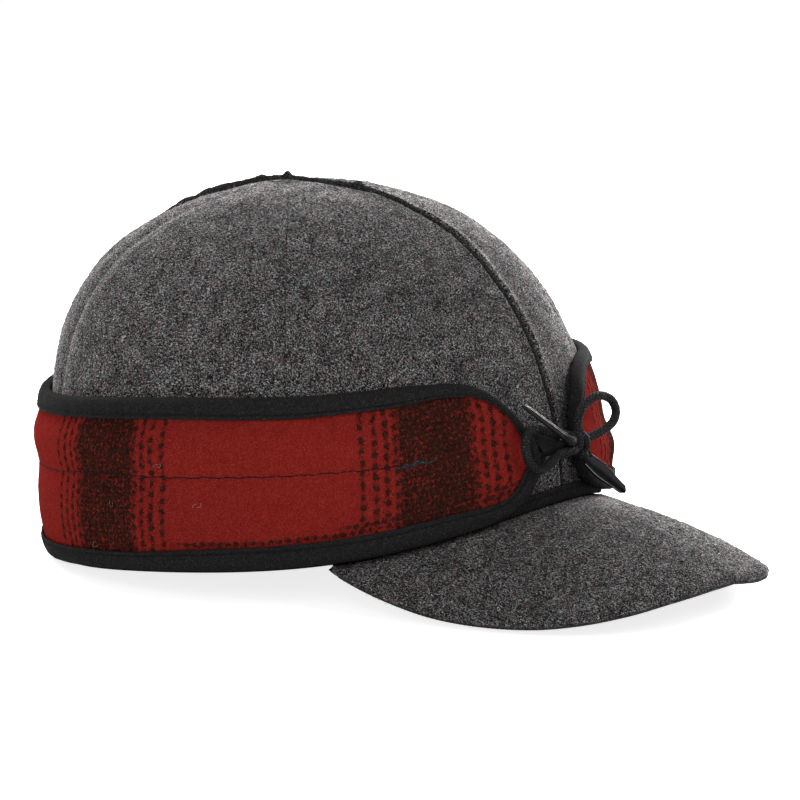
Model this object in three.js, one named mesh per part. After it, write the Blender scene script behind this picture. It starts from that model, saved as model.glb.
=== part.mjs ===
// A wool work cap with an earband folded up round its crown and tied with a lace in front.
// Millimetres, +Z up, front toward -Y, wearer's right toward -X. The cap rests on z = 0.

import * as THREE from 'three';

// Crown: half sizes of its base, and the apex
const BASE_CENTRE_Y = 31.6;
const BASE_HALF_LENGTH = 97.5;
const BASE_HALF_WIDTH = 93.2;
const FRONT_NARROWING = 0.134;
const APEX_Y = 51.7;
const APEX_Z = 128.9;
const RIM_TUCK = 5.4;
const RIM_TUCK_HEIGHT = 7.5;
const CROWN_WALL = 2.2;
const CLEARANCE = 0.3;

// Moves the whole cap so that the middle of its plan is at x = 0, y = 0
const PLAN_SHIFT = [0.22, 0.69, 0];

// The rim's height above the surface: a mean and its cosine terms of the plan angle
const RIM_MEAN = 10.2;
const RIM_COSINES = [13.8, 3.4, 1.1, 1.25];

// The crown's wall is a superellipse whose two powers change from front to back
const REACH_POWER = [0.998, -0.338, 0.044];
const RISE_POWER = [0.645, 0.325, 0.057];

// Plain seams between the three panels of each side, in degrees from the front
const PANEL_SEAMS = [
  { panel: 'front', from: 0, to: 64 },
  { panel: 'side', from: 64, to: 127 },
  { panel: 'back', from: 127, to: 180 },
];
const SEAM_DENT_DEPTH = 0.9;
const SEAM_DENT_REACH = 5;
const PANEL_COLUMNS = 9;
const PANEL_ROWS = [0, 0.03, 0.07, 0.13, 0.21, 0.3, 0.39, 0.48, 0.57, 0.66, 0.75, 0.84, 0.92, 1];
const APEX_OPENING = 2.6;

// Raised centre seam: width, and its height over the cloth from front rim to back rim
const RIDGE_WIDTH = 2;
const RIDGE_HEIGHTS = [
  { share: 0, height: 1 },
  { share: 0.12, height: 1.7 },
  { share: 0.3, height: 2.1 },
  { share: 0.41, height: 2.5 },
  { share: 0.5, height: 2.2 },
  { share: 0.56, height: 1.6 },
  { share: 0.62, height: 2.7 },
  { share: 0.68, height: 3.2 },
  { share: 0.72, height: 2.2 },
  { share: 0.77, height: 0.1 },
  { share: 1, height: 0.1 },
];
const RIDGE_STEPS = 44;
const RIDGE_CHAMFER = 0.5;

// Binding round the crown's base
const RIM_BINDING_WALL = 0.8;
const RIM_BINDING_OUTSIDE = 5.5;
const RIM_BINDING_INSIDE = 5;
const RIM_BINDING_SLACK = 1;
const RIM_BINDING_STEPS = 64;

// Peak: where it joins the rim, how far it reaches, and the height of its edge
const PEAK_HALF_ANGLE = 55.1;
const PEAK_REACH = 112;
const PEAK_WALL = 3;
const PEAK_END_THINNING = 1.6;
const PEAK_RIGHT_FULLNESS = 6.5;
const PEAK_LEFT_FULLNESS = 2.4;
const PEAK_WIDTH_POWER = 2.98;
const PEAK_LENGTH_POWER = 1.06;
const PEAK_CROWN = 4;
const PEAK_END_WIDTH = 2.6;
const PEAK_EDGE_ROUND = 1.4;
const PEAK_EDGE_TUCK = 1.2;
const PEAK_RISES = [
  { share: 0, right: 16, left: 16 },
  { share: 0.1, right: 15.4, left: 14.8 },
  { share: 0.2, right: 13, left: 11.4 },
  { share: 0.3, right: 9.2, left: 7.6 },
  { share: 0.4, right: 5.9, left: 4.8 },
  { share: 0.5, right: 3.7, left: 3.6 },
  { share: 0.62, right: 3.1, left: 3.1 },
  { share: 0.73, right: 4.2, left: 4.2 },
  { share: 0.82, right: 6.8, left: 6.8 },
  { share: 0.9, right: 10, left: 10 },
  { share: 1, right: 14.8, left: 14.8 },
];
const PEAK_COLUMNS = 32;
const PEAK_ROWS = 7;

// Earband: outline of its right end and top edge, as heights above the rim's lower edge
const EARBAND_BOTTOM = 1.5;
const EARBAND_RIGHT_END = [
  { angle: 25, height: 1.5 },
  { angle: 18.3, height: 2.9 },
  { angle: 13.6, height: 7.4 },
  { angle: 11.2, height: 13 },
  { angle: 10.4, height: 19 },
  { angle: 11.4, height: 25 },
  { angle: 13.7, height: 30.4 },
  { angle: 16.4, height: 36.3 },
  { angle: 20.4, height: 43.2 },
  { angle: 24.8, height: 47.6 },
  { angle: 30, height: 50.2 },
];
const EARBAND_LEFT_END = [
  { angle: 25, height: 1.5 },
  { angle: 14, height: 2.4 },
  { angle: 6.5, height: 6.4 },
  { angle: 3.4, height: 12 },
  { angle: 2.4, height: 19 },
  { angle: 2.8, height: 26 },
  { angle: 4.6, height: 33 },
  { angle: 8.6, height: 39.4 },
  { angle: 14.4, height: 44 },
  { angle: 21.6, height: 47.6 },
  { angle: 30, height: 50.2 },
];
const EARBAND_TOP = [
  { angle: 30, height: 50.2 },
  { angle: 40, height: 53.3 },
  { angle: 50, height: 55.3 },
  { angle: 60, height: 56.7 },
  { angle: 75, height: 58.4 },
  { angle: 90, height: 59.4 },
  { angle: 120, height: 59.7 },
  { angle: 150, height: 59 },
  { angle: 180, height: 58.6 },
];
const EARBAND_OFFSETS = [
  { share: 0, right: 2.7, left: 2.7 },
  { share: 0.14, right: 2.7, left: 2.7 },
  { share: 0.34, right: 3.4, left: 2.7 },
  { share: 0.56, right: 3.2, left: 2.2 },
  { share: 0.74, right: 4.4, left: 2 },
  { share: 0.89, right: 2.4, left: 1.8 },
  { share: 1, right: 1.6, left: 1.6 },
];
const EARBAND_WALL = 1.6;
const EARBAND_STEP = 5;
const EARBAND_END_STEPS = 16;
const EARBAND_NOSE_STEPS = 2;
const EARBAND_ROWS = [0, 0.12, 0.34, 0.56, 0.73, 0.84, 0.92, 1];

// Binding folded over the earband's edge
const BAND_BINDING_WALL = 0.8;
const BAND_BINDING_WIDTH = 6.4;
const BAND_BINDING_GAP = 0.45;

// Lace: a braided cord whose routes are the middles of its runs
const LACE_DIAMETER = 3;
const LACE_SIDES = 8;
const LACE_RIGHT_LEAD = [[-14, -66.5, 50], [-9.8, -68.6, 50.4], [-5.9, -70.8, 50.8]];
const LACE_LEFT_LEAD = [[2.3, -67.5, 50.4], [0.9, -67.6, 50.7], [-0.7, -67.7, 51]];
const LACE_RIGHT_LOOP = [
  [-5.7, -74.6, 49.4], [-9.4, -74.4, 49.4], [-12.3, -73.4, 48.9], [-14.9, -72.3, 46.9], [-17.3, -71.2, 44.9],
  [-20.1, -70.3, 44.3], [-22.9, -69.3, 46.6], [-24.6, -68.6, 50.6], [-24.2, -68, 54.8], [-21.4, -67.6, 57.4],
  [-17.6, -68.4, 57.9], [-13.9, -69.3, 56.3], [-10, -70.2, 54.9], [-5.5, -71.3, 54],
];
const LACE_LEFT_LOOP = [
  [-0.6, -72.2, 55.2], [0.2, -71.8, 57.8], [2.6, -71.3, 60.8], [6.6, -71, 63], [11.5, -71.2, 64.4],
  [16.4, -71.6, 63.7], [19.9, -72.3, 61.4], [20.6, -73.2, 58.2], [18.9, -73.7, 55.6], [15.3, -73.8, 53.7],
  [9.6, -73.6, 52.4], [3.6, -73, 51.8],
];
const LACE_RIGHT_TAIL = [[-6, -73.9, 52.5], [-8.3, -75.4, 52.7], [-10.6, -75, 54.3]];
const LACE_LEFT_TAIL = [[0.7, -73.7, 47.3], [1.4, -74, 46.1], [2.1, -74.3, 45]];

// Knot of the bow
const KNOT_CENTRE = [-1.2, -72.6, 51.2];
const KNOT_HALF_SIZE = [4.6, 3.2, 3.6];

// Aglets: each lies in line with the end of its tail
const AGLET_LENGTH = 19.5;
const AGLET_DIAMETER = 3.5;
const AGLET_GAP = 0.45;
const AGLET_RIGHT_END = [-25.5, -66.3, 67.5];
const AGLET_LEFT_END = [15.5, -80.4, 32.5];

const degrees = Math.PI / 180;

// Materials
const wool = new THREE.MeshStandardMaterial({ color: 0x4e4d4c, roughness: 0.95, metalness: 0 });
const plaid = new THREE.MeshStandardMaterial({ color: 0x74221f, roughness: 0.95, metalness: 0 });
const binding = new THREE.MeshStandardMaterial({ color: 0x1c1b1c, roughness: 0.85, metalness: 0 });
const thread = new THREE.MeshStandardMaterial({ color: 0x161516, roughness: 0.8, metalness: 0 });
const lace = new THREE.MeshStandardMaterial({ color: 0x121213, roughness: 0.6, metalness: 0 });
const aglet = new THREE.MeshStandardMaterial({ color: 0x0c0c0d, roughness: 0.25, metalness: 0 });

// A smooth value from a table, by the named column
function lookUp(table, column, value, wanted) {
  const last = table.length - 1;
  let row = 0;
  while (row < last - 1 && value > table[row + 1][column]) row += 1;
  const low = table[row];
  const high = table[row + 1];
  const share = THREE.MathUtils.clamp((value - low[column]) / (high[column] - low[column]), 0, 1);
  const before = table[Math.max(row - 1, 0)];
  const after = table[Math.min(row + 2, last)];
  const span = high[column] - low[column];
  const slopeIn = (high[wanted] - before[wanted]) / (high[column] - before[column]);
  const slopeOut = (after[wanted] - low[wanted]) / (after[column] - low[column]);
  const squared = share * share;
  const cubed = squared * share;
  return (2 * cubed - 3 * squared + 1) * low[wanted]
    + (cubed - 2 * squared + share) * span * slopeIn
    + (3 * squared - 2 * cubed) * high[wanted]
    + (cubed - squared) * span * slopeOut;
}

// The sum of a mean and its cosine terms at a plan angle
function cosineSum(terms, angle) {
  return terms.reduce((sum, term, order) => sum + term * Math.cos(order * angle), 0);
}

// Height of the rim's lower edge, flattened where it lies on the surface
function rimHeight(angle) {
  return Math.max(0, cosineSum([RIM_MEAN, ...RIM_COSINES], angle));
}

// A point of the crown's outer face: angle from the front toward the right, rise from 0 to 1
function crownPoint(angle, rise) {
  const reachPower = cosineSum(REACH_POWER, angle);
  const risePower = cosineSum(RISE_POWER, angle);
  const reach = Math.max(Math.cos(rise * Math.PI / 2), 0) ** reachPower;
  const climb = Math.sin(rise * Math.PI / 2) ** risePower;
  const baseX = -BASE_HALF_WIDTH * Math.sin(angle) * (1 - FRONT_NARROWING * Math.cos(angle));
  const baseY = BASE_CENTRE_Y - BASE_HALF_LENGTH * Math.cos(angle);
  const foot = rimHeight(angle);
  const above = (APEX_Z - foot) * climb;
  const tuck = RIM_TUCK * Math.sin(angle / 2) ** 2 * Math.exp(-above / RIM_TUCK_HEIGHT);
  const keep = 1 - tuck / BASE_HALF_LENGTH;
  return new THREE.Vector3(
    baseX * reach * keep,
    APEX_Y + (baseY - APEX_Y) * reach * keep,
    foot + above,
  );
}

// The level direction that points straight out of the crown's base
function outward(angle) {
  const step = 0.001;
  const before = crownPoint(angle - step, 0);
  const along = crownPoint(angle + step, 0).sub(before).setZ(0).normalize();
  return new THREE.Vector3(along.y, -along.x, 0).multiplyScalar(-1);
}

// A point at a height above the rim and an offset out of the crown's face
function wallPoint(angle, height, offset) {
  const wanted = rimHeight(angle) + height;
  let low = 0;
  let high = 1;
  for (let turn = 0; turn < 30; turn += 1) {
    const middle = (low + high) / 2;
    if (crownPoint(angle, middle).z < wanted) low = middle;
    else high = middle;
  }
  const point = height <= 0 ? crownPoint(angle, 0).setZ(wanted) : crownPoint(angle, low);
  return point.addScaledVector(outward(angle), offset);
}

// Points of a crown meridian, at shares of its length from the rim's edge to near the apex
function meridian(angle, start, shares) {
  const fine = [];
  for (let i = 0; i <= 240; i += 1) {
    fine.push(crownPoint(angle, (i / 240) ** 2));
  }
  const lengths = [0];
  for (let i = 1; i < fine.length; i += 1) {
    lengths.push(lengths[i - 1] + fine[i].distanceTo(fine[i - 1]));
  }
  const end = lengths[lengths.length - 1] - APEX_OPENING;
  let i = 1;
  return shares.map((part) => {
    const wanted = start + (end - start) * part;
    while (i < fine.length - 1 && lengths[i] < wanted) i += 1;
    const share = (wanted - lengths[i - 1]) / (lengths[i] - lengths[i - 1]);
    return fine[i - 1].clone().lerp(fine[i], share);
  });
}

// A closed body between two grids of points, outer and inner, joined round their border
function shell(outer, inner) {
  const rows = outer.length;
  const columns = outer[0].length;
  const positions = [];
  [outer, inner].forEach((grid) => grid.forEach((row) => row.forEach((p) => positions.push(p.x, p.y, p.z))));
  const index = [];
  const out = (r, c) => r * columns + c;
  const into = (r, c) => rows * columns + r * columns + c;
  const quad = (a, b, c, d) => index.push(a, b, c, a, c, d);
  for (let r = 0; r < rows - 1; r += 1) {
    for (let c = 0; c < columns - 1; c += 1) {
      quad(out(r, c), out(r, c + 1), out(r + 1, c + 1), out(r + 1, c));
      quad(into(r, c), into(r + 1, c), into(r + 1, c + 1), into(r, c + 1));
    }
    quad(out(r, 0), out(r + 1, 0), into(r + 1, 0), into(r, 0));
    quad(out(r, columns - 1), into(r, columns - 1), into(r + 1, columns - 1), out(r + 1, columns - 1));
  }
  for (let c = 0; c < columns - 1; c += 1) {
    quad(out(0, c), into(0, c), into(0, c + 1), out(0, c + 1));
    quad(out(rows - 1, c), out(rows - 1, c + 1), into(rows - 1, c + 1), into(rows - 1, c));
  }
  return facing(positions, index);
}

// A closed body swept through section loops, joined into a ring or capped at both ends
function sweep(sections, ring) {
  const count = sections[0].length;
  const positions = [];
  sections.forEach((loop) => loop.forEach((p) => positions.push(p.x, p.y, p.z)));
  const index = [];
  const spans = ring ? sections.length : sections.length - 1;
  for (let s = 0; s < spans; s += 1) {
    const near = s * count;
    const far = ((s + 1) % sections.length) * count;
    for (let i = 0; i < count; i += 1) {
      const next = (i + 1) % count;
      index.push(near + i, near + next, far + next, near + i, far + next, far + i);
    }
  }
  if (!ring) {
    const last = (sections.length - 1) * count;
    for (let i = 1; i < count - 1; i += 1) {
      index.push(0, i + 1, i);
      index.push(last, last + i, last + i + 1);
    }
  }
  return facing(positions, index);
}

// A geometry whose faces point outward, told by the sign of its volume
function facing(positions, index) {
  const a = new THREE.Vector3();
  const b = new THREE.Vector3();
  const c = new THREE.Vector3();
  let volume = 0;
  for (let i = 0; i < index.length; i += 3) {
    a.fromArray(positions, index[i] * 3);
    b.fromArray(positions, index[i + 1] * 3);
    c.fromArray(positions, index[i + 2] * 3);
    volume += a.dot(b.cross(c));
  }
  const order = volume > 0 ? index : index.slice().reverse();
  const geometry = new THREE.BufferGeometry();
  geometry.setAttribute('position', new THREE.Float32BufferAttribute(positions, 3));
  geometry.setIndex(order);
  geometry.computeVertexNormals();
  return geometry;
}

const cap = new THREE.Group();

function addPiece(name, geometry, material) {
  const mesh = new THREE.Mesh(geometry, material);
  mesh.name = name;
  cap.add(mesh);
}

// The angle at which a row of a panel lies a given distance to one side of a seam's upright plane
function panelEdge(seamAngle, distance, row) {
  const start = RIM_BINDING_WALL + CLEARANCE;
  const foot = crownPoint(seamAngle, 0).sub(new THREE.Vector3(0, APEX_Y, 0)).setZ(0).normalize();
  let turn = distance / BASE_HALF_LENGTH;
  for (let guess = 0; guess < 8; guess += 1) {
    const point = meridian(seamAngle + turn, start, PANEL_ROWS)[row];
    const found = Math.abs(foot.x * (point.y - APEX_Y) - foot.y * point.x);
    turn *= Math.abs(distance) / found;
  }
  return seamAngle + turn;
}

// One of the crown's six cloth panels. Its long edges dip into the seams it shares.
function crownPanel(seam, side) {
  const start = RIM_BINDING_WALL + CLEARANCE;
  const fromWidth = seam.from === 0 ? RIDGE_WIDTH / 2 + CLEARANCE : CLEARANCE / 2;
  const toWidth = seam.to === 180 ? RIDGE_WIDTH / 2 + CLEARANCE : CLEARANCE / 2;
  const lastRow = PANEL_ROWS.length - 1;
  const outer = PANEL_ROWS.map(() => []);
  const inner = PANEL_ROWS.map(() => []);
  for (let row = 0; row <= lastRow; row += 1) {
    const first = panelEdge(seam.from * degrees, fromWidth, row);
    const last = panelEdge(seam.to * degrees, -toWidth, row);
    for (let column = 0; column <= PANEL_COLUMNS; column += 1) {
      const angle = first + (last - first) * column / PANEL_COLUMNS;
      const step = 0.01;
      const line = meridian(angle, start, PANEL_ROWS);
      const beside = meridian(angle + step, start, PANEL_ROWS);
      const point = line[row];
      const along = line[Math.min(row + 1, lastRow)].clone().sub(line[Math.max(row - 1, 0)]);
      const across = beside[row].clone().sub(point);
      const normal = across.cross(along).normalize();
      if (normal.dot(new THREE.Vector3(point.x, point.y - BASE_CENTRE_Y, point.z)) < 0) normal.negate();
      const radius = Math.hypot(point.x, point.y - APEX_Y);
      const fromSeam = seam.from === 0 ? Infinity : (angle - seam.from * degrees) * radius;
      const toSeam = seam.to === 180 ? Infinity : (seam.to * degrees - angle) * radius;
      const near = Math.min(fromSeam, toSeam) / SEAM_DENT_REACH;
      const fade = Math.min(row / 3, 1) * Math.min((lastRow - row) / 3, 1);
      const dent = SEAM_DENT_DEPTH * fade * Math.exp(-near * near);
      const face = point.clone().addScaledVector(normal, -dent);
      const back = point.clone().addScaledVector(normal, -dent - CROWN_WALL);
      face.x *= side;
      back.x *= side;
      outer[row].push(face);
      inner[row].push(back);
    }
  }
  return shell(outer, inner);
}

[{ word: 'right', sign: 1 }, { word: 'left', sign: -1 }].forEach((side) => {
  PANEL_SEAMS.forEach((seam) => {
    addPiece(`crown_panel_${seam.panel}_${side.word}`, crownPanel(seam, side.sign), wool);
  });
});

// The raised centre seam, a strip that stands between the two halves from front to back
function crownRidge() {
  const start = RIM_BINDING_OUTSIDE + CLEARANCE;
  const half = RIDGE_STEPS / 2;
  const shares = Array.from({ length: half + 1 }, (unused, i) => i / half);
  const front = meridian(0, start, shares);
  const back = meridian(Math.PI, start, shares).reverse();
  const line = [...front, new THREE.Vector3(0, APEX_Y, APEX_Z), ...back];
  const side = new THREE.Vector3(1, 0, 0);
  const width = RIDGE_WIDTH / 2;
  const sections = line.map((point, i) => {
    const next = line[Math.min(i + 1, line.length - 1)];
    const along = next.clone().sub(line[Math.max(i - 1, 0)]).normalize();
    const up = side.clone().cross(along).normalize();
    const height = lookUp(RIDGE_HEIGHTS, 'share', i / (line.length - 1), 'height');
    const corner = (x, z) => point.clone().addScaledVector(side, x).addScaledVector(up, z);
    return [
      corner(-width, -CROWN_WALL),
      corner(width, -CROWN_WALL),
      corner(width, height - RIDGE_CHAMFER),
      corner(width - RIDGE_CHAMFER, height),
      corner(RIDGE_CHAMFER - width, height),
      corner(-width, height - RIDGE_CHAMFER),
    ];
  });
  return sweep(sections, false);
}

addPiece('crown_seam', crownRidge(), thread);

// Binding folded over the crown's lower edge, a U that is open upward
function rimBinding() {
  const inside = -CROWN_WALL - RIM_BINDING_SLACK;
  const outside = CLEARANCE;
  const sections = [];
  for (let step = 0; step < RIM_BINDING_STEPS; step += 1) {
    const angle = 2 * Math.PI * step / RIM_BINDING_STEPS;
    const corner = (offset, height) => wallPoint(angle, 0, offset).setZ(rimHeight(angle) + height);
    const legs = (offset, height) => wallPoint(angle, height, offset);
    sections.push([
      corner(inside - RIM_BINDING_WALL, 0),
      corner(outside + RIM_BINDING_WALL, 0),
      legs(outside + RIM_BINDING_WALL, RIM_BINDING_OUTSIDE / 2),
      legs(outside + RIM_BINDING_WALL, RIM_BINDING_OUTSIDE),
      legs(outside, RIM_BINDING_OUTSIDE),
      legs(outside, RIM_BINDING_OUTSIDE / 2),
      legs(outside, RIM_BINDING_WALL),
      legs(inside, RIM_BINDING_WALL),
      legs(inside, RIM_BINDING_INSIDE),
      legs(inside - RIM_BINDING_WALL, RIM_BINDING_INSIDE),
    ]);
  }
  return sweep(sections, true);
}

addPiece('rim_binding', rimBinding(), binding);

// Outer edge of the peak, from its left end round the front to its right end
function peakEdge() {
  const end = wallPoint(PEAK_HALF_ANGLE * degrees, -CLEARANCE, PEAK_END_WIDTH);
  const points = [];
  for (let i = 0; i <= 60; i += 1) {
    const turn = Math.PI * (i / 60 - 0.5);
    const wide = Math.sign(turn) * Math.abs(Math.sin(turn)) ** (2 / PEAK_WIDTH_POWER);
    const long = Math.max(Math.cos(turn), 0) ** (2 / PEAK_LENGTH_POWER);
    const full = (turn > 0 ? PEAK_RIGHT_FULLNESS : PEAK_LEFT_FULLNESS) * Math.sin(2 * turn);
    points.push(new THREE.Vector3(end.x * wide - full, end.y - PEAK_REACH * long, 0));
  }
  const edge = new THREE.CatmullRomCurve3(points).getSpacedPoints(PEAK_COLUMNS);
  edge.forEach((point, column) => {
    const share = column / PEAK_COLUMNS * 2 - 1;
    point.z = lookUp(PEAK_RISES, 'share', Math.abs(share), share > 0 ? 'right' : 'left');
  });
  return edge;
}

// The peak: its upper face falls from the rim to its edge, with a little crown between
function peak() {
  const edge = peakEdge();
  const top = [];
  edge.forEach((edgePoint, column) => {
    const share = column / PEAK_COLUMNS * 2 - 1;
    const angle = share * PEAK_HALF_ANGLE * degrees;
    const under = wallPoint(angle, -CLEARANCE, -CROWN_WALL - CLEARANCE);
    const root = wallPoint(angle, -CLEARANCE, CLEARANCE + RIM_BINDING_WALL);
    const line = [under];
    for (let row = 0; row <= PEAK_ROWS; row += 1) {
      const out = row / PEAK_ROWS;
      const point = root.clone().lerp(edgePoint, out);
      point.z += PEAK_CROWN * 4 * out * (1 - out) * Math.cos(share * Math.PI / 2);
      line.push(point);
    }
    const rim = line[PEAK_ROWS + 1];
    const before = line[PEAK_ROWS];
    const back = before.clone().sub(rim).setLength(Math.min(PEAK_EDGE_ROUND, before.distanceTo(rim) / 2));
    line.splice(PEAK_ROWS + 1, 0, rim.clone().add(back));
    top.push(line);
  });
  const last = top[0].length - 1;
  const outer = [];
  const inner = [];
  top.forEach((line, column) => {
    outer.push([]);
    inner.push([]);
    const beside = top[Math.min(column + 1, PEAK_COLUMNS)];
    const other = top[Math.max(column - 1, 0)];
    const share = column / PEAK_COLUMNS * 2 - 1;
    const wall = PEAK_WALL - PEAK_END_THINNING * Math.abs(share) ** 6;
    line.forEach((point, row) => {
      const across = beside[Math.min(row, last - 1)].clone().sub(other[Math.min(row, last - 1)]);
      const along = line[Math.min(row + 1, last)].clone().sub(line[Math.max(row - 1, 0)]);
      const normal = along.cross(across).normalize();
      if (normal.z < 0) normal.negate();
      const tuck = row === last ? PEAK_EDGE_TUCK : 0;
      outer[column].push(point.clone().addScaledVector(normal, -tuck));
      inner[column].push(point.clone().addScaledVector(normal, tuck / 4 - wall));
    });
  });
  return shell(outer, inner);
}

addPiece('peak', peak(), wool);

// Millimetres along the crown's base for one degree of plan angle
function degreeLength(angle) {
  const step = 0.5;
  const before = crownPoint((angle - step) * degrees, 0).setZ(0);
  return crownPoint((angle + step) * degrees, 0).setZ(0).distanceTo(before) / (2 * step);
}

// One end of the earband's outline, evenly stepped from the bottom edge to the top edge
function earbandEnd(table) {
  const scale = degreeLength(15);
  const corners = table.map((row) => new THREE.Vector3(row.angle * scale, row.height, 0));
  const curve = new THREE.CatmullRomCurve3(corners, false, 'centripetal');
  return curve.getSpacedPoints(EARBAND_END_STEPS).map((p) => ({ angle: p.x / scale, height: p.y }));
}

// Half of the earband's outline, from the back of its bottom edge to the back of its top edge
function earbandHalf(table) {
  const half = [];
  for (let angle = 180; angle > table[0].angle; angle -= EARBAND_STEP) {
    half.push({ angle, height: EARBAND_BOTTOM });
  }
  half.push(...earbandEnd(table));
  for (let angle = EARBAND_TOP[0].angle + EARBAND_STEP; angle <= 180; angle += EARBAND_STEP) {
    half.push({ angle, height: lookUp(EARBAND_TOP, 'angle', angle, 'height') });
  }
  return half;
}

// The earband's closed outline, as plan angles in degrees and heights over the rim
function earbandOutline() {
  const right = earbandHalf(EARBAND_RIGHT_END);
  const left = earbandHalf(EARBAND_LEFT_END);
  const mirrored = left.slice(1, -1).reverse().map((p) => ({ angle: -p.angle, height: p.height }));
  return [...right, ...mirrored];
}

// Level offset of the earband's inner face from the crown
function earbandOffset(place) {
  const level = 180 - Math.abs(180 - Math.abs(place.angle));
  const top = lookUp(EARBAND_TOP, 'angle', Math.max(level, EARBAND_TOP[0].angle), 'height');
  const share = place.height / top;
  const leftness = THREE.MathUtils.clamp(-2 * Math.sin(place.angle * degrees), 0, 1);
  const right = lookUp(EARBAND_OFFSETS, 'share', share, 'right');
  const left = lookUp(EARBAND_OFFSETS, 'share', share, 'left');
  return THREE.MathUtils.lerp(right, left, leftness);
}

// The outline moved into the band by a distance
function insetPoint(outline, i, distance) {
  const count = outline.length;
  const point = outline[i];
  const unroll = (p) => point.angle + ((p.angle - point.angle + 540) % 360) - 180;
  const scale = degreeLength(point.angle);
  const next = outline[(i + 1) % count];
  const last = outline[(i + count - 1) % count];
  const along = new THREE.Vector2((unroll(next) - unroll(last)) * scale, next.height - last.height).normalize();
  return { angle: point.angle + along.y * distance / scale, height: point.height - along.x * distance };
}

function bandFacePoint(place, offset) {
  return wallPoint(place.angle * degrees, place.height, earbandOffset(place) + offset);
}

// The plaid earband, folded up round the crown and open in front
function earband(outline) {
  const inset = BAND_BINDING_WALL + CLEARANCE;
  const count = outline.length;
  const nose = (count / 2 - 1) / 2;
  const pairs = [];
  for (let k = EARBAND_NOSE_STEPS; k <= nose; k += 1) {
    pairs.push([nose - k, nose + 1 + k]);
  }
  for (let k = nose - 1; k >= EARBAND_NOSE_STEPS; k -= 1) {
    pairs.push([count - nose + k, count - nose - 1 - k]);
  }
  const grid = (offset) => pairs.map(([lowIndex, highIndex]) => {
    const low = insetPoint(outline, lowIndex, inset);
    const high = insetPoint(outline, highIndex, inset);
    high.angle = low.angle + ((high.angle - low.angle + 540) % 360) - 180;
    return EARBAND_ROWS.map((share) => bandFacePoint({
      angle: low.angle + (high.angle - low.angle) * share,
      height: low.height + (high.height - low.height) * share,
    }, offset));
  });
  return shell(grid(EARBAND_WALL), grid(0));
}

// Binding folded over the whole edge of the earband
function bandBinding(outline) {
  const gap = BAND_BINDING_GAP;
  const wall = BAND_BINDING_WALL;
  const section = [
    { inward: 0, offset: -gap - wall },
    { inward: 0, offset: EARBAND_WALL + gap + wall },
    { inward: BAND_BINDING_WIDTH, offset: EARBAND_WALL + gap + wall },
    { inward: BAND_BINDING_WIDTH, offset: EARBAND_WALL + gap },
    { inward: wall, offset: EARBAND_WALL + gap },
    { inward: wall, offset: -gap },
    { inward: BAND_BINDING_WIDTH, offset: -gap },
    { inward: BAND_BINDING_WIDTH, offset: -gap - wall },
  ];
  const sections = outline.map((point, i) => section.map((corner) => (
    bandFacePoint(insetPoint(outline, i, corner.inward), corner.offset)
  )));
  return sweep(sections, true);
}

const outline = earbandOutline();
addPiece('earband', earband(outline), plaid);
addPiece('earband_binding', bandBinding(outline), binding);

// A plain tube along the middle of one run of lace
function laceRun(route, stepsPerPoint) {
  const curve = new THREE.CatmullRomCurve3(route.map((p) => new THREE.Vector3(...p)), false, 'centripetal');
  const circle = new THREE.Shape();
  for (let side = 0; side < LACE_SIDES; side += 1) {
    const turn = 2 * Math.PI * side / LACE_SIDES;
    const x = LACE_DIAMETER / 2 * Math.cos(turn);
    const y = LACE_DIAMETER / 2 * Math.sin(turn);
    if (side === 0) circle.moveTo(x, y);
    else circle.lineTo(x, y);
  }
  circle.closePath();
  const steps = Math.round((route.length - 1) * stepsPerPoint);
  return new THREE.ExtrudeGeometry(circle, { steps, extrudePath: curve, bevelEnabled: false });
}

addPiece('lace_right_lead', laceRun(LACE_RIGHT_LEAD, 1), lace);
addPiece('lace_left_lead', laceRun(LACE_LEFT_LEAD, 1), lace);
addPiece('lace_right_loop', laceRun(LACE_RIGHT_LOOP, 1.4), lace);
addPiece('lace_left_loop', laceRun(LACE_LEFT_LOOP, 1.4), lace);
addPiece('lace_right_tail', laceRun(LACE_RIGHT_TAIL, 1), lace);
addPiece('lace_left_tail', laceRun(LACE_LEFT_TAIL, 1), lace);

const knot = new THREE.SphereGeometry(1, 12, 8);
knot.scale(...KNOT_HALF_SIZE);
knot.translate(...KNOT_CENTRE);
addPiece('lace_knot', knot, lace);

// A tube pressed over the lace, with its free end rounded
function agletTube(tail, freeEnd) {
  const radius = AGLET_DIAMETER / 2;
  const start = new THREE.Vector3(...tail[tail.length - 1]);
  const along = new THREE.Vector3(...freeEnd).sub(start).normalize();
  start.addScaledVector(along, AGLET_GAP);
  const profile = [
    new THREE.Vector2(0, 0),
    new THREE.Vector2(radius, 0),
    new THREE.Vector2(radius, AGLET_LENGTH - radius),
    new THREE.Vector2(radius * 0.8, AGLET_LENGTH - radius * 0.4),
    new THREE.Vector2(radius * 0.4, AGLET_LENGTH),
    new THREE.Vector2(0, AGLET_LENGTH),
  ];
  const geometry = new THREE.LatheGeometry(profile, 12);
  const turn = new THREE.Quaternion().setFromUnitVectors(new THREE.Vector3(0, 1, 0), along);
  geometry.applyQuaternion(turn);
  geometry.translate(start.x, start.y, start.z);
  return geometry;
}

addPiece('aglet_right', agletTube(LACE_RIGHT_TAIL, AGLET_RIGHT_END), aglet);
addPiece('aglet_left', agletTube(LACE_LEFT_TAIL, AGLET_LEFT_END), aglet);

cap.children.forEach((piece) => piece.geometry.translate(...PLAN_SHIFT));

export default cap;
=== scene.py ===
"""Looks of a wool work cap with a plaid earband and a lace bow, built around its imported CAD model.

Metres, +Z up. The peak points toward -Y and the wearer's right toward -X, as in the CAD frame.
"""

import math

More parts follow.
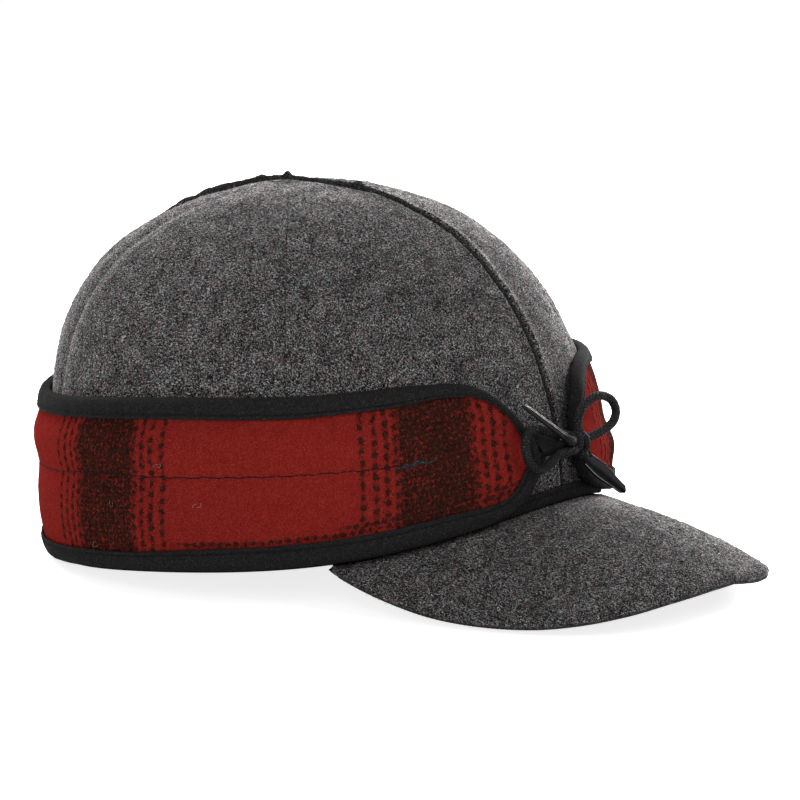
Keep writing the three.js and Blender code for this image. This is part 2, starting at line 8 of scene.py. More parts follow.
import bpy
import numpy as np
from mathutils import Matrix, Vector


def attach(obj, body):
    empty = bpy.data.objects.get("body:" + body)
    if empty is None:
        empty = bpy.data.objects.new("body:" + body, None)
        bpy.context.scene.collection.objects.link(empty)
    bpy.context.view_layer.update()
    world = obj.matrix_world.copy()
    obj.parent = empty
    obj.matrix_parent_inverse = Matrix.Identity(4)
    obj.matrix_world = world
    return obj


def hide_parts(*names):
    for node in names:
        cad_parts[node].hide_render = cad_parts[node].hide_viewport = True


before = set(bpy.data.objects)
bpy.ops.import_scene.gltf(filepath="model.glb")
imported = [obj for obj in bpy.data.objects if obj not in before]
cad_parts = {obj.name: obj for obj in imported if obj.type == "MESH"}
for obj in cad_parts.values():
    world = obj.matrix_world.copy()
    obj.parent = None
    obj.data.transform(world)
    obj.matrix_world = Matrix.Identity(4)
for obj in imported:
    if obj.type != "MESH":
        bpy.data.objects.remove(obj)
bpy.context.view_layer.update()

# The studio: one camera where the photographer stood, a little above the table, and a white
# floor that is also lit from below. The main lights stand behind the cap and on its left side,
# and two weaker ones fill the peak and the side that the camera sees.
CAMERA_TARGET = Vector((0.0002, 0.0036, 0.0559))
CAMERA_DISTANCE = 1.152
CAMERA_AZIMUTH = math.radians(-52.1)
CAMERA_ELEVATION = math.radians(11.2)
CAMERA_LENS = 149.85
FLOOR_HALF = 7.0

scene = bpy.context.scene
scene.view_settings.view_transform = "Standard"


def placed(name, data, place, toward):
    """A camera or light in the scene, turned along a direction."""
    thing = bpy.data.objects.new(name, data)
    scene.collection.objects.link(thing)
    thing.location = place
    thing.rotation_euler = toward.to_track_quat("-Z", "Y").to_euler()
    return thing


camera_back = Vector((
    math.sin(CAMERA_AZIMUTH) * math.cos(CAMERA_ELEVATION),
    -math.cos(CAMERA_AZIMUTH) * math.cos(CAMERA_ELEVATION),
    math.sin(CAMERA_ELEVATION),
))
camera_data = bpy.data.cameras.new("camera")
camera_data.lens = CAMERA_LENS
camera_data.sensor_width = 36
scene.camera = placed("camera", camera_data, CAMERA_TARGET + camera_back * CAMERA_DISTANCE, -camera_back)

for light_name, light_place, light_size, light_power in (
    ("light_left_side", (1.6, 0.2, 0.7), 1.0, 55), ("light_back", (0.3, 1.2, 1.2), 1.0, 34),
    ("light_front", (0.2, -1.4, 1.3), 1.0, 10.5), ("light_behind_camera", (-1.3, -0.5, 0.7), 1.2, 8.5),
):
    soft_box = bpy.data.lights.new(light_name, "AREA")
    soft_box.size, soft_box.energy = light_size, light_power
    placed(light_name, soft_box, Vector(light_place), CAMERA_TARGET - Vector(light_place))

scene.world = bpy.data.worlds.new("studio")
scene.world.use_nodes = True
sky = scene.world.node_tree.nodes["Background"].inputs
sky["Color"].default_value = (1, 1, 1, 1)
sky["Strength"].default_value = 0.18


class Field:
    """A node's output. Arithmetic with it makes Math nodes in the same tree."""

    def __init__(self, tree, socket):
        self.tree, self.socket = tree, socket

    def __add__(self, other):
        return maths("ADD", self, other)

    def __sub__(self, other):
        return maths("SUBTRACT", self, other)

    def __rsub__(self, other):
        return maths("SUBTRACT", other, self)

    def __mul__(self, other):
        return maths("MULTIPLY", self, other)

    def __truediv__(self, other):
        return maths("DIVIDE", self, other)


def feed(value, socket):
    """A number, a colour or a field goes into a socket."""
    if isinstance(value, Field):
        value.tree.links.new(value.socket, socket)
    else:
        socket.default_value = value


def new_node(tree, kind, output, inputs, **settings):
    """One output of a new node. Its inputs are given by name or number."""
    node = tree.nodes.new(kind)
    for name, value in settings.items():
        setattr(node, name, value)
    for name, value in inputs.items():
        feed(value, node.inputs[name])
    return Field(tree, node.outputs[output])


def maths(operation, *values, clamp=False):
    """One Math node of numbers and fields."""
    tree = next(value.tree for value in values if isinstance(value, Field))
    inputs = dict(enumerate(values))
    return new_node(tree, "ShaderNodeMath", "Value", inputs, operation=operation, use_clamp=clamp)


def ramp(factor, stops):
    """A colour ramp from (place, grey or colour) stops."""
    node = factor.tree.nodes.new("ShaderNodeValToRGB")
    elements = node.color_ramp.elements
    while len(elements) < len(stops):
        elements.new(0.5)
    for element, (place, colour) in zip(elements, stops):
        element.position = place
        element.color = (*((colour,) * 3 if isinstance(colour, (int, float)) else colour), 1)
    feed(factor, node.inputs["Fac"])
    return Field(factor.tree, node.outputs["Color"])


def new_material(name, roughness, specular=0.5):
    """A material with one Principled shader, its tree and the shader's sockets."""
    material = bpy.data.materials.new(name)
    material.use_nodes = True
    shader = material.node_tree.nodes["Principled BSDF"].inputs
    feed(roughness, shader["Roughness"])
    feed(specular, shader["Specular IOR Level"])
    return material, material.node_tree, shader


floor_mesh = bpy.data.meshes.new("floor")
floor_corners = [(x * FLOOR_HALF, y * FLOOR_HALF, 0) for x, y in ((-1, -1), (1, -1), (1, 1), (-1, 1))]
floor_mesh.from_pydata(floor_corners, [], [(0, 1, 2, 3)])
floor = bpy.data.objects.new("floor", floor_mesh)
scene.collection.objects.link(floor)
floor_material, floor_tree, floor_shader = new_material("studio_floor", 0.6)
floor_grain = new_node(floor_tree, "ShaderNodeTexNoise", "Fac", {"Scale": 3.0})
feed(ramp(floor_grain, [(0.0, 0.9), (1.0, 0.94)]), floor_shader["Base Color"])
feed((0.8, 0.8, 0.8, 1), floor_shader["Emission Color"])
feed(new_node(floor_tree, "ShaderNodeLightPath", "Is Camera Ray", {}), floor_shader["Emission Strength"])
floor_mesh.materials.append(floor_material)

# The lace: one braided black cord in two halves, which come from under the earband's ends,
# cross in the knot, make the bow's two loops and end in crimped aglets.
MM = 0.001
PLAN_SHIFT = np.array([0.22, 0.69, 0.0])
LACE_RADIUS = 1.5
LACE_STRANDS = 6
LACE_PITCH = 3.4
LACE_STEP = 0.26
LACE_SIDES = 30
LACE_RELIEF = 0.24
LACE_RIB = 0.85
LACE_GRIP = 3.5
LACE_PRESS = 0.36
RIGHT_LACE = [
    (-14, -66.5, 50), (-9.8, -68.6, 50.4), (-5.9, -70.8, 50.8), (-2.2, -72, 52), (-0.6, -72.2, 55.2),
    (0.2, -71.8, 57.8), (2.6, -71.3, 60.8), (6.6, -71, 63), (11.5, -71.2, 64.4), (16.4, -71.6, 63.7),
    (19.9, -72.3, 61.4), (20.6, -73.2, 58.2), (18.9, -73.7, 55.6), (15.3, -73.8, 53.7), (9.6, -73.6, 52.4),
    (3.6, -73, 51.8), (-1, -73.2, 51.9), (-6, -73.9, 52.5), (-8.3, -75.4, 52.7), (-10.6, -75, 54.3),
    (-11.6, -74.5, 55.2),
]
LEFT_LACE = [
    (2.3, -67.5, 50.4), (0.9, -67.6, 50.7), (-0.7, -67.9, 51), (-3.2, -70.6, 50.6), (-5.7, -74.6, 49.4),
    (-9.4, -74.4, 49.4), (-12.3, -73.4, 48.9), (-14.9, -72.3, 46.9), (-17.3, -71.2, 44.9),
    (-20.1, -70.3, 44.3), (-22.9, -69.3, 46.6), (-24.6, -68.6, 50.6), (-24.2, -68, 54.8),
    (-21.4, -67.6, 57.4), (-17.6, -68.4, 57.9), (-13.9, -69.3, 56.3), (-10, -70.2, 54.9),
    (-5.5, -71.3, 54), (-1.2, -72.4, 52), (0.7, -73.7, 47.3), (1.4, -74, 46.1), (2.1, -74.3, 45),
    (2.9, -74.7, 44.2),
]


def way_along(line):
    """The way from a line's start to each of its points."""
    return np.concatenate([[0], np.cumsum(np.linalg.norm(np.diff(line, axis=0), axis=1))])


def at_ways(wanted, way, line):
    """A line's points at the wanted ways along it."""
    return np.stack([np.interp(wanted, way, line[:, i]) for i in range(3)], axis=1)


def unit(vectors):
    return vectors / np.linalg.norm(vectors, axis=-1)[..., None]


def smooth_step(part):
    return part * part * (3 - 2 * part)


def hermite(t, start, start_slope, end, end_slope):
    """The cubic from one value to another, with its slope given at both."""
    return (
        (2 * t**3 - 3 * t**2 + 1) * start + (t**3 - 2 * t**2 + t) * start_slope
        + (3 * t**2 - 2 * t**3) * end + (t**3 - t**2) * end_slope
    )


def smooth_line(points, count=None, step=None, closed=False):
    """Evenly spaced points of the centripetal curve through the given ones, as three.js draws it."""
    points = np.asarray(points, float)
    if closed:
        padded = np.vstack([points[-1], points, points[0], points[1]])
    else:
        padded = np.vstack([2 * points[0] - points[1], points, 2 * points[-1] - points[-2]])
    fine = []
    for p0, p1, p2, p3 in zip(padded, padded[1:], padded[2:], padded[3:]):
        k0, k1, k2 = (np.linalg.norm(b - a) ** 0.5 for a, b in ((p0, p1), (p1, p2), (p2, p3)))
        m1 = ((p1 - p0) / k0 - (p2 - p0) / (k0 + k1) + (p2 - p1) / k1) * k1
        m2 = ((p2 - p1) / k1 - (p3 - p1) / (k1 + k2) + (p3 - p2) / k2) * k1
        fine.append(hermite(np.linspace(0, 1, 24, endpoint=False)[:, None], p1, m1, p2, m2))
    fine = np.vstack(fine + [padded[-2][None]])
    along = way_along(fine)
    if count is None:
        count = int(round(along[-1] / step)) + 1
    return at_ways(np.linspace(0, along[-1], count), along, fine)


def carried_frames(line, closed=False):
    """Two unit directions across a line at each point, carried along it without twist."""
    along = np.roll(line, -1, axis=0) - np.roll(line, 1, axis=0) if closed else np.gradient(line, axis=0)
    along = unit(along)
    side = np.cross(along[0], [0, 0, 1.0])
    if np.linalg.norm(side) < 0.1:
        side = np.cross(along[0], [0, 1.0, 0])
    sides = []
    for direction in along:
        side = unit(side - direction * (side @ direction))
        sides.append(side)
    return np.array(sides), np.cross(along, sides)


def make_piece(name, vertices, faces, material, slot, replaces=(), maps=None):
    """A smooth mesh object from millimetre points. It rides on the cap and takes its material. The slot argument
    is not used.
    """
    mesh = bpy.data.meshes.new(name)
    places = (np.asarray(vertices, float).reshape(-1, 3) + PLAN_SHIFT) * MM
    mesh.from_pydata(places.tolist(), [], [tuple(face) for face in faces])
    mesh.polygons.foreach_set("use_smooth", [True] * len(mesh.polygons))
    for map_name, values in (maps or {}).items():
        corner_vertex = np.zeros(len(mesh.loops), np.int32)
        mesh.loops.foreach_get("vertex_index", corner_vertex)
        spread = np.asarray(values, np.float32).reshape(-1, 2)[corner_vertex]
        mesh.uv_layers.new(name=map_name).data.foreach_set("uv", spread.ravel())
    mesh.materials.append(material)
    piece = bpy.data.objects.new(name, mesh)
    scene.collection.objects.link(piece)
    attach(piece, "root")
    if replaces:
        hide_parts(*replaces)
    return piece


def tube_faces(rings, sides, closed=False):
    """Quads of a tube made of rings of points, and its two end faces."""
    ring = np.arange(rings if closed else rings - 1)[:, None]
    side = np.arange(sides)[None]
    near, far, after = ring * sides, ((ring + 1) % rings) * sides, (side + 1) % sides
    faces = np.stack([near + side, near + after, far + after, far + side], axis=-1).reshape(-1, 4).tolist()
    if not closed:
        faces += [list(range(sides))[::-1], [(rings - 1) * sides + i for i in range(sides)]]
    return faces


def tube_points(line, radius, closed=False, sides=LACE_SIDES):
    """Rings round a line. Radius is a number, or a function of the ring's angle and its way along."""
    across, over = carried_frames(line, closed)
    angle = np.linspace(0, 2 * np.pi, sides, endpoint=False)[None, :]
    if callable(radius):
        reach = radius(angle, way_along(line)[:, None])
    else:
        reach = radius * np.ones((len(line), sides))
    ring = np.cos(angle)[..., None] * across[:, None] + np.sin(angle)[..., None] * over[:, None]
    return line[:, None] + reach[..., None] * ring


def make_tube(name, line, radius, material, slot, replaces=(), maps=None, closed=False, sides=LACE_SIDES):
    points, faces = tube_points(line, radius, closed, sides), tube_faces(len(line), sides, closed)
    return make_piece(name, points, faces, material, slot, replaces, maps)


def braid_radius(angle, way):
    """Plaited strands: two families of helices, each rising where it passes over the other."""
    turn = 2 * np.pi * way / LACE_PITCH
    one, other = (np.cos(LACE_STRANDS * angle + turn * sense) for sense in (2, -2))
    return LACE_RADIUS - LACE_RELIEF * 0.5 + LACE_RELIEF * (np.maximum(one, other) - 0.25)


def pressed_end(angle, way):
    """The same plait, drawn in over its last millimetres, where the aglet grips it."""
    part = np.clip((way - way.max() + LACE_GRIP) / LACE_GRIP, 0, 1)
    return braid_radius(angle, way) * (1 - LACE_PRESS * smooth_step(part))


def cord_map(line):
    """A map of a cord: its way along in millimetres, and its way round as a share."""
    grid = np.meshgrid(way_along(line), np.linspace(0, 1, LACE_SIDES, endpoint=False), indexing="ij")
    return {"cord": np.stack(grid, axis=-1)}


def noise(vector, scale, detail=2.0, roughness=0.5, distortion=0.0):
    """A noise texture of features about 1/scale metres wide."""
    inputs = {"Vector": vector, "Scale": scale, "Detail": detail, "Roughness": roughness, "Distortion": distortion}
    return new_node(vector.tree, "ShaderNodeTexNoise", "Fac", inputs)


def bump(height, shader, distance, strength):
    """Relief on a shader from a height."""
    inputs = {"Distance": distance, "Strength": strength, "Height": height}
    feed(new_node(height.tree, "ShaderNodeBump", "Normal", inputs), shader["Normal"])


def object_place(tree):
    """A point's place in the cap's own frame."""
    return new_node(tree, "ShaderNodeTexCoord", "Object", {})


def map_parts(tree, name):
    """The two coordinates of a piece's own map."""
    vector = new_node(tree, "ShaderNodeUVMap", "UV", {}, uv_map=name)
    return [new_node(tree, "ShaderNodeSeparateXYZ", axis, {"Vector": vector}) for axis in "XY"]


lace_material, lace_tree, lace_shader = new_material("braided_black_cord", 0.66, 0.2)
lace_rib = maths("COSINE", map_parts(lace_tree, "cord")[0] * (2 * math.pi / LACE_RIB))
lace_speck = noise(object_place(lace_tree), 2300, 3.0, 0.6) + lace_rib * 0.09
feed(ramp(lace_speck, [(0.36, 0.002), (0.58, 0.008), (0.68, 0.038), (0.8, 0.17)]), lace_shader["Base Color"])
bump(lace_speck, lace_shader, 0.00018, 0.8)

laces = {}
for lace_name, route, stood_for in (
    ("lace_right_half", RIGHT_LACE, ("lace_right_lead", "lace_left_loop", "lace_right_tail")),
    ("lace_left_half", LEFT_LACE, ("lace_left_lead", "lace_right_loop", "lace_left_tail")),
):
    lace_line = smooth_line(route, step=LACE_STEP)
    lace = make_tube(
        lace_name, lace_line, pressed_end, lace_material, "lace_black", stood_for, cord_map(lace_line)
    )
    laces[lace_name] = lace, lace_line

# The knot of the bow: the same cord wrapped twice round the place where the loops cross, drawn
# tight, so that it holds both loops and both free ends by friction alone.
KNOT_CENTRE = np.array([-1.2, -72.6, 51.2])
KNOT_WRAPS = ((0.0, -1.5, 14), (-0.7, 1.5, -14))
KNOT_REACH = (2.1, 2.5)
KNOT_SQUEEZE = 0.88


def knot_wrap(centre, shift, tilt):
    """One closed turn of cord round the crossing, tilted a little from upright."""
    turn = np.linspace(0, 2 * np.pi, 17)[:-1]
    lean = math.radians(tilt)
    return centre + np.stack([
        shift + np.sin(lean) * KNOT_REACH[1] * np.sin(turn),
        KNOT_REACH[0] * np.cos(turn),
        np.cos(lean) * KNOT_REACH[1] * np.sin(turn),
    ], axis=1)


knot_wraps = []
for number, (back, shift, tilt) in enumerate(KNOT_WRAPS):
    wrap_points = knot_wrap(KNOT_CENTRE + [0, back, 0], shift, tilt)
    wrap_line = smooth_line(wrap_points, step=LACE_STEP, closed=True)[:-1]
    knot_wraps.append(make_tube(
        f"knot_wrap_{number + 1}", wrap_line, lambda a, w: braid_radius(a, w) * KNOT_SQUEEZE, lace_material,
        "lace_black", ["lace_knot"] if number == 0 else (), cord_map(wrap_line), closed=True,
    ))

# The aglets: black plastic strip pressed flat round each lace end, with a sharp fold along one edge whose crest is
# painted pale grey as a painted highlight. The right one is seen edge-on, the left one nearly flat.
AGLET_LENGTH = 19.5
AGLET_GAP = 0.45
AGLETS = (
    ("aglet_right", "lace_right_half", (-10.6, -75, 54.3), (-25.5, -66.3, 67.5), (0.52, -0.2, 0.83),
     ((0, 1.3), (0.12, 1.1), (0.8, 1.0), (0.95, 0.8), (1, 0.4)), 0.75, 0.7, 0.35),
    ("aglet_left", "lace_left_half", (2.1, -74.3, 45), (15.5, -80.4, 32.5), (0.55, -0.43, 0.72),
     ((0, 2.3), (0.3, 2.8), (0.9, 1.7), (1, 0.7)), 0.6, 0.8, -0.72),
)
AGLET_FOLD_WIDTH = 0.11
TOWARD_CAP = (0.774, 0.603, -0.194)
AGLET_STEPS = 80
AGLET_SIDES = 72


def eased(value, places, results):
    """A smooth value from a table, level at each of its places."""
    places, results = np.asarray(places, float), np.asarray(results, float)
    row = np.clip(np.searchsorted(places, value, side="right") - 1, 0, len(places) - 2)
    part = np.clip((value - places[row]) / (places[row + 1] - places[row]), 0, 1)
    return results[row] + (results[row + 1] - results[row]) * smooth_step(part)


def bell(away, reach):
    return np.exp(-((away / reach) ** 2))


gloss_material, gloss_tree, gloss_shader = new_material("aglet_gloss", 0.25)
gloss_grain = noise(object_place(gloss_tree), 620, 3.0)
gloss_edge = maths("POWER", map_parts(gloss_tree, "fold")[0], 2.5)
fold_painted_highlight = maths("MULTIPLY", gloss_edge, gloss_grain * 0.4 + 0.4, clamp=True)
# The base colour is painted pale along the fold's crest: a painted highlight. The fold is also shinier.
for socket, tone, stops in (
    ("Base Color", fold_painted_highlight, [(0.0, 0.005), (0.15, 0.01), (0.6, 0.24)]),
    ("Roughness", gloss_grain, [(0.3, 0.1), (0.7, 0.24)]),
    ("Specular IOR Level", gloss_edge, [(0.0, 0.2), (0.5, 0.55)]),
):
    feed(ramp(tone, stops), gloss_shader[socket])
bump(gloss_grain, gloss_shader, 0.0001, 0.3)

for tip_name, lace_name, tip_start, tip_end, broad, widths, thick, ridge, ridge_side in AGLETS:
    tip_start, tip_end = np.array(tip_start, float), np.array(tip_end, float)
    direction = unit(tip_end - tip_start)
    broad = unit(np.array(broad) - direction * (np.array(broad) @ direction))
    facing = np.cross(direction, broad)
    facing *= -np.sign(facing @ TOWARD_CAP)
    part = np.linspace(0, 1, AGLET_STEPS)
    half_width = eased(part, *zip(*widths))
    half_width[-1] *= 0.25
    turn = np.linspace(0, 2 * np.pi, AGLET_SIDES, endpoint=False)
    sharp = bell(np.cos(turn) - ridge_side, AGLET_FOLD_WIDTH) * (np.sin(turn) > 0)
    wide = half_width[:, None] * np.cos(turn)
    nose = np.sqrt(np.clip(1 - np.clip((part - 0.9) / 0.11, 0, 1) ** 2, 0.01, 1))[:, None]
    out = thick * nose * (np.sin(turn) * 0.8 + sharp * ridge)
    middle = tip_start + direction * (AGLET_GAP + AGLET_LENGTH * part)[:, None]
    rings = middle[:, None] + broad * wide[..., None] + facing * out[..., None]
    fold = np.stack(np.broadcast_arrays(sharp, part[:, None]), axis=-1)
    tip = make_piece(
        f"{tip_name}_sleeve", rings, tube_faces(AGLET_STEPS, AGLET_SIDES), gloss_material, "aglet_black",
        [tip_name], {"fold": fold},
    )
    lace, lace_line = laces[lace_name]
    path = [tuple(point) for point in ((lace_line[::6] + PLAN_SHIFT) * MM).tolist()]
    [tip] + (knot_wraps if lace_name == "lace_right_half" else [])

# The crown: six panels of charcoal melton, three on each side, cut to a dome and sewn edge to
# edge. The two side seams lie flat, pressed open underneath, and leave only a soft valley.
BASE_CENTRE_Y = 31.6
BASE_HALF_LENGTH = 97.5
BASE_HALF_WIDTH = 93.2
FRONT_NARROWING = 0.134
APEX_Y = 51.7
APEX_Z = 128.9
APEX_OPENING = 2.6
RIM_TUCK = 5.4
RIM_TUCK_HEIGHT = 7.5
RIM_HEIGHTS = (10.2, 13.8, 3.4, 1.1, 1.25)
REACH_POWERS = (0.998, -0.338, 0.044)
RISE_POWERS = (0.645, 0.325, 0.057)
CROWN_WALL = 2.2
PANEL_START = 1.1
PANEL_SEAMS = (("front", 0, 64), ("side", 64, 127), ("back", 127, 180))
PANEL_COLUMNS = 56
PANEL_ROWS = 84
SEAM_VALLEY = 0.5
SEAM_VALLEY_REACH = 5.0
BACK_VALLEY = 0.35
BACK_VALLEY_REACH = 3.0
SEAM_GROOVE = 0.16
SEAM_GROOVE_REACH = 1.1
LIP_SHARES = (0, 0.12, 0.24, 0.7, 0.86, 1)
LIP_LEFT = (0.2, 0.4, 0.95, 1.15, 1.0, 0.4)
LIP_RIGHT = (0.1, 0.15, 0.25, 0.25, 0.2, 0.1)
LIP_REACH = 3.2
LIP_LEAN = 0.7
RIDGE_HALF_WIDTH = 1.0
MERIDIAN_STEPS = 160


def cosine_sum(terms, angle):
    return sum(term * np.cos(order * angle) for order, term in enumerate(terms))


def rim_height(angle):
    return np.maximum(0, cosine_sum(RIM_HEIGHTS, angle))


def crown_point(angle, rise):
    """A point of the crown's outer face, from an angle round it and a rise from 0 to 1."""
    reach = np.maximum(np.cos(rise * np.pi / 2), 0) ** cosine_sum(REACH_POWERS, angle)
    climb = np.sin(rise * np.pi / 2) ** cosine_sum(RISE_POWERS, angle)
    base_x = -BASE_HALF_WIDTH * np.sin(angle) * (1 - FRONT_NARROWING * np.cos(angle))
    base_y = BASE_CENTRE_Y - BASE_HALF_LENGTH * np.cos(angle)
    above = (APEX_Z - rim_height(angle)) * climb
    tuck = RIM_TUCK * np.sin(angle / 2) ** 2 * np.exp(-above / RIM_TUCK_HEIGHT)
    keep = 1 - tuck / BASE_HALF_LENGTH
    return np.stack([
        base_x * reach * keep,
        APEX_Y + (base_y - APEX_Y) * reach * keep,
        rim_height(angle) + above,
    ], axis=-1)


def meridian_point(angle, share, start=PANEL_START):
    """Points at shares of the way from the rim to the apex, each on the meridian of its own angle."""
    angle, share = np.broadcast_arrays(np.asarray(angle, float), np.asarray(share, float))
    fine = crown_point(angle[..., None], np.linspace(0, 1, MERIDIAN_STEPS + 1) ** 2)
    pieces = np.linalg.norm(np.diff(fine, axis=-2), axis=-1)
    lengths = np.concatenate([np.zeros(angle.shape + (1,)), np.cumsum(pieces, axis=-1)], axis=-1)
    wanted = start + (lengths[..., -1] - APEX_OPENING - start) * share
    upper = np.clip((lengths < wanted[..., None]).sum(-1), 1, MERIDIAN_STEPS)[..., None]
    low, high = (np.take_along_axis(lengths, i, -1) for i in (upper - 1, upper))
    part = (wanted[..., None] - low) / (high - low)
    below, over = (np.take_along_axis(fine, i[..., None], -2)[..., 0, :] for i in (upper - 1, upper))
    return below + (over - below) * part


def outward(angle):
    """The level direction straight out of the crown's base."""
    along = crown_point(angle + 0.001, 0 * angle) - crown_point(angle - 0.001, 0 * angle)
    along[..., 2] = 0
    along = unit(along)
    return np.stack([-along[..., 1], along[..., 0], 0 * along[..., 2]], axis=-1)


def wall_point(angle, height, offset):
    """A point at a height over the rim's lower edge and an offset out of the crown's face."""
    angle, height, offset = np.broadcast_arrays(*(np.asarray(v, float) for v in (angle, height, offset)))
    climb = np.clip(height, 0, None) / (APEX_Z - rim_height(angle))
    rise = np.arcsin(np.clip(climb, 0, 1) ** (1 / cosine_sum(RISE_POWERS, angle))) * 2 / np.pi
    point = crown_point(angle, rise)
    point[..., 2] = rim_height(angle) + height
    return point + outward(angle) * offset[..., None]


def grid_normals(grid, inside=(0, BASE_CENTRE_Y, 20)):
    """Unit normals of a grid of points, on the side that faces away from a point inside."""
    normal = np.cross(np.gradient(grid, axis=1), np.gradient(grid, axis=0))
    normal /= np.linalg.norm(normal, axis=-1)[..., None] + 1e-12
    flip = (normal * (grid - np.array(inside))).sum(-1) < 0
    normal[flip] *= -1
    return normal


def waver(points, width, seed):
    """Smooth unevenness from -1 to 1 with bumps about width millimetres across."""
    random = np.random.default_rng(seed)
    total = 0
    for _ in range(7):
        phase = points @ unit(random.normal(size=3)) * np.pi / width * random.uniform(0.7, 1.4)
        total = total + np.sin(phase + random.uniform(0, 6.3))
    return total / 4


def shell_faces(rows, columns):
    """Faces of a closed body between two grids, outer first, joined round their border."""
    def quads(a, b, c, d):
        return np.stack([a, b, c, d], axis=-1).reshape(-1, 4)

    cell = np.arange(rows * columns).reshape(rows, columns)
    inner = cell + rows * columns
    faces = [
        quads(cell[:-1, :-1], cell[:-1, 1:], cell[1:, 1:], cell[1:, :-1]),
        quads(inner[:-1, :-1], inner[1:, :-1], inner[1:, 1:], inner[:-1, 1:]),
        quads(cell[:-1, 0], cell[1:, 0], inner[1:, 0], inner[:-1, 0]),
        quads(cell[:-1, -1], inner[:-1, -1], inner[1:, -1], cell[1:, -1]),
        quads(cell[0, :-1], inner[0, :-1], inner[0, 1:], cell[0, 1:]),
        quads(cell[-1, :-1], cell[-1, 1:], inner[-1, 1:], inner[-1, :-1]),
    ]
    return np.vstack(faces).tolist()


def shell_piece(name, outer, inner, material, slot, replaces=(), maps=None):
    """A cloth piece with thickness, from its two faces. Its normals are turned outward."""
    vertices = np.vstack([outer.reshape(-1, 3), inner.reshape(-1, 3)])
    faces = np.array(shell_faces(*outer.shape[:2]))
    a, b, c, d = (vertices[faces[:, i]] for i in range(4))
    if (a * np.cross(b, c)).sum() + (a * np.cross(c, d)).sum() < 0:
        faces = faces[:, ::-1]
    return make_piece(name, vertices, faces.tolist(), material, slot, replaces, maps)


def new_group(name, inputs, outputs):
    """A node group: the group, its inputs as fields, and its exit's sockets."""
    group = bpy.data.node_groups.new(name, "ShaderNodeTree")
    for way, names in (("INPUT", inputs), ("OUTPUT", outputs)):
        for socket in names:
            group.interface.new_socket(socket, in_out=way, socket_type="NodeSocketFloat")
    entry = group.nodes.new("NodeGroupInput").outputs
    return group, {name: Field(group, entry[name]) for name in inputs}, group.nodes.new("NodeGroupOutput").inputs


def use_group(tree, group, **inputs):
    """A group placed in a tree: its outputs by name."""
    node = tree.nodes.new("ShaderNodeGroup")
    node.node_tree = group
    for name, value in inputs.items():
        feed(value, node.inputs[name])
    return {socket.name: Field(tree, socket) for socket in node.outputs}


def vector_maths(operation, vector, inputs):
    return new_node(vector.tree, "ShaderNodeVectorMath", "Vector", {0: vector, **inputs}, operation=operation)


def wool_group():
    """Short felted nap: pale and dark fibres lying every way, softer clumps, and their relief."""
    group, entry, leave = new_group("wool_nap", ("Fineness",), ("Fleck", "Clump", "Height"))
    scaled = vector_maths("SCALE", object_place(group), {"Scale": entry["Fineness"]})
    bend = new_node(group, "ShaderNodeTexNoise", "Color", {"Scale": 260, "Vector": scaled})
    wander = vector_maths("MULTIPLY_ADD", bend, {1: (0.0022, 0.0022, 0.0022), 2: scaled})
    strands = []
    for turn, stretch in (
        ((0.2, 0.9, 0.4), (3900, 850, 2300)), ((1.2, 0.3, 1.9), (850, 3900, 2300)),
        ((0.7, 2.1, 1.1), (2300, 850, 3900)), ((2.3, 1.4, 0.1), (3900, 2300, 850)),
    ):
        inputs = {"Rotation": turn, "Scale": stretch, "Vector": wander}
        strands.append(noise(new_node(group, "ShaderNodeMapping", "Vector", inputs), 1.0, 1.0))
    fleck = (maths("MAXIMUM", *strands[:2]) + maths("MINIMUM", *strands[2:])) * 0.5
    clump = noise(scaled, 190, 2.0, 0.6)
    for value, socket in zip((fleck, clump, fleck + clump * 0.2), leave):
        feed(value, socket)
    return group


wool_nap = wool_group()
# Painted rim light: how much paler the wool's colour is painted as its face turns edge-on to the view.
WOOL_PAINTED_RIM_LIGHT = ((0.0, 1.05), (0.45, 1.08), (0.6, 1.1), (0.7, 1.38), (0.78, 1.9), (0.88, 2.5))
WOOL_PAINTED_RIM_MOST = 2.5


def grey_wool(name, brightness):
    """Charcoal melton: dark and pale fibres felted together, with a faint warm or cool cast.

    Toward the cap's outline the colour is painted paler, up to two and a half times: partly the paler look of
    fibres seen side on, partly a painted rim light for the lamps behind the cap.
    """
    material, tree, shader = new_material(name, 0.95, 0.1)
    nap = use_group(tree, wool_nap, Fineness=1.0)
    tone = nap["Fleck"] + (nap["Clump"] - 0.5) * 0.1
    stops = ((0.38, 0.001), (0.455, 0.011), (0.515, 0.053), (0.575, 0.21), (0.635, 0.5))
    warm, cool = (
        ramp(tone, [(at, tuple(value * brightness * share for share in cast)) for at, value in stops])
        for cast in ((1.12, 0.97, 0.95), (0.96, 1.0, 1.02))
    )
    spread = maths("MULTIPLY", noise(object_place(tree), 330, 2.0, 0.7) - 0.38, 4.0, clamp=True)
    blend = new_node(tree, "ShaderNodeMix", 2, {"Factor": spread, 6: warm, 7: cool}, data_type="RGBA")
    # Painted rim light: the colour is scaled up where the face is seen edge-on.
    turned = new_node(tree, "ShaderNodeLayerWeight", "Facing", {"Blend": 0.5})
    painted_rim_gain = ramp(turned, [(place, value / WOOL_PAINTED_RIM_MOST) for place, value in WOOL_PAINTED_RIM_LIGHT])
    raised = vector_maths("SCALE", vector_maths("MULTIPLY", blend, {1: painted_rim_gain}), {"Scale": WOOL_PAINTED_RIM_MOST})
    feed(raised, shader["Base Color"])
    bump(nap["Height"], shader, 0.0008, 1.0)
    for socket, value in (("Sheen Weight", 0.07), ("Sheen Roughness", 0.3), ("IOR", 1.12)):
        feed(value, shader[socket])
    return material


crown_wool = grey_wool("charcoal_melton", 1.0)


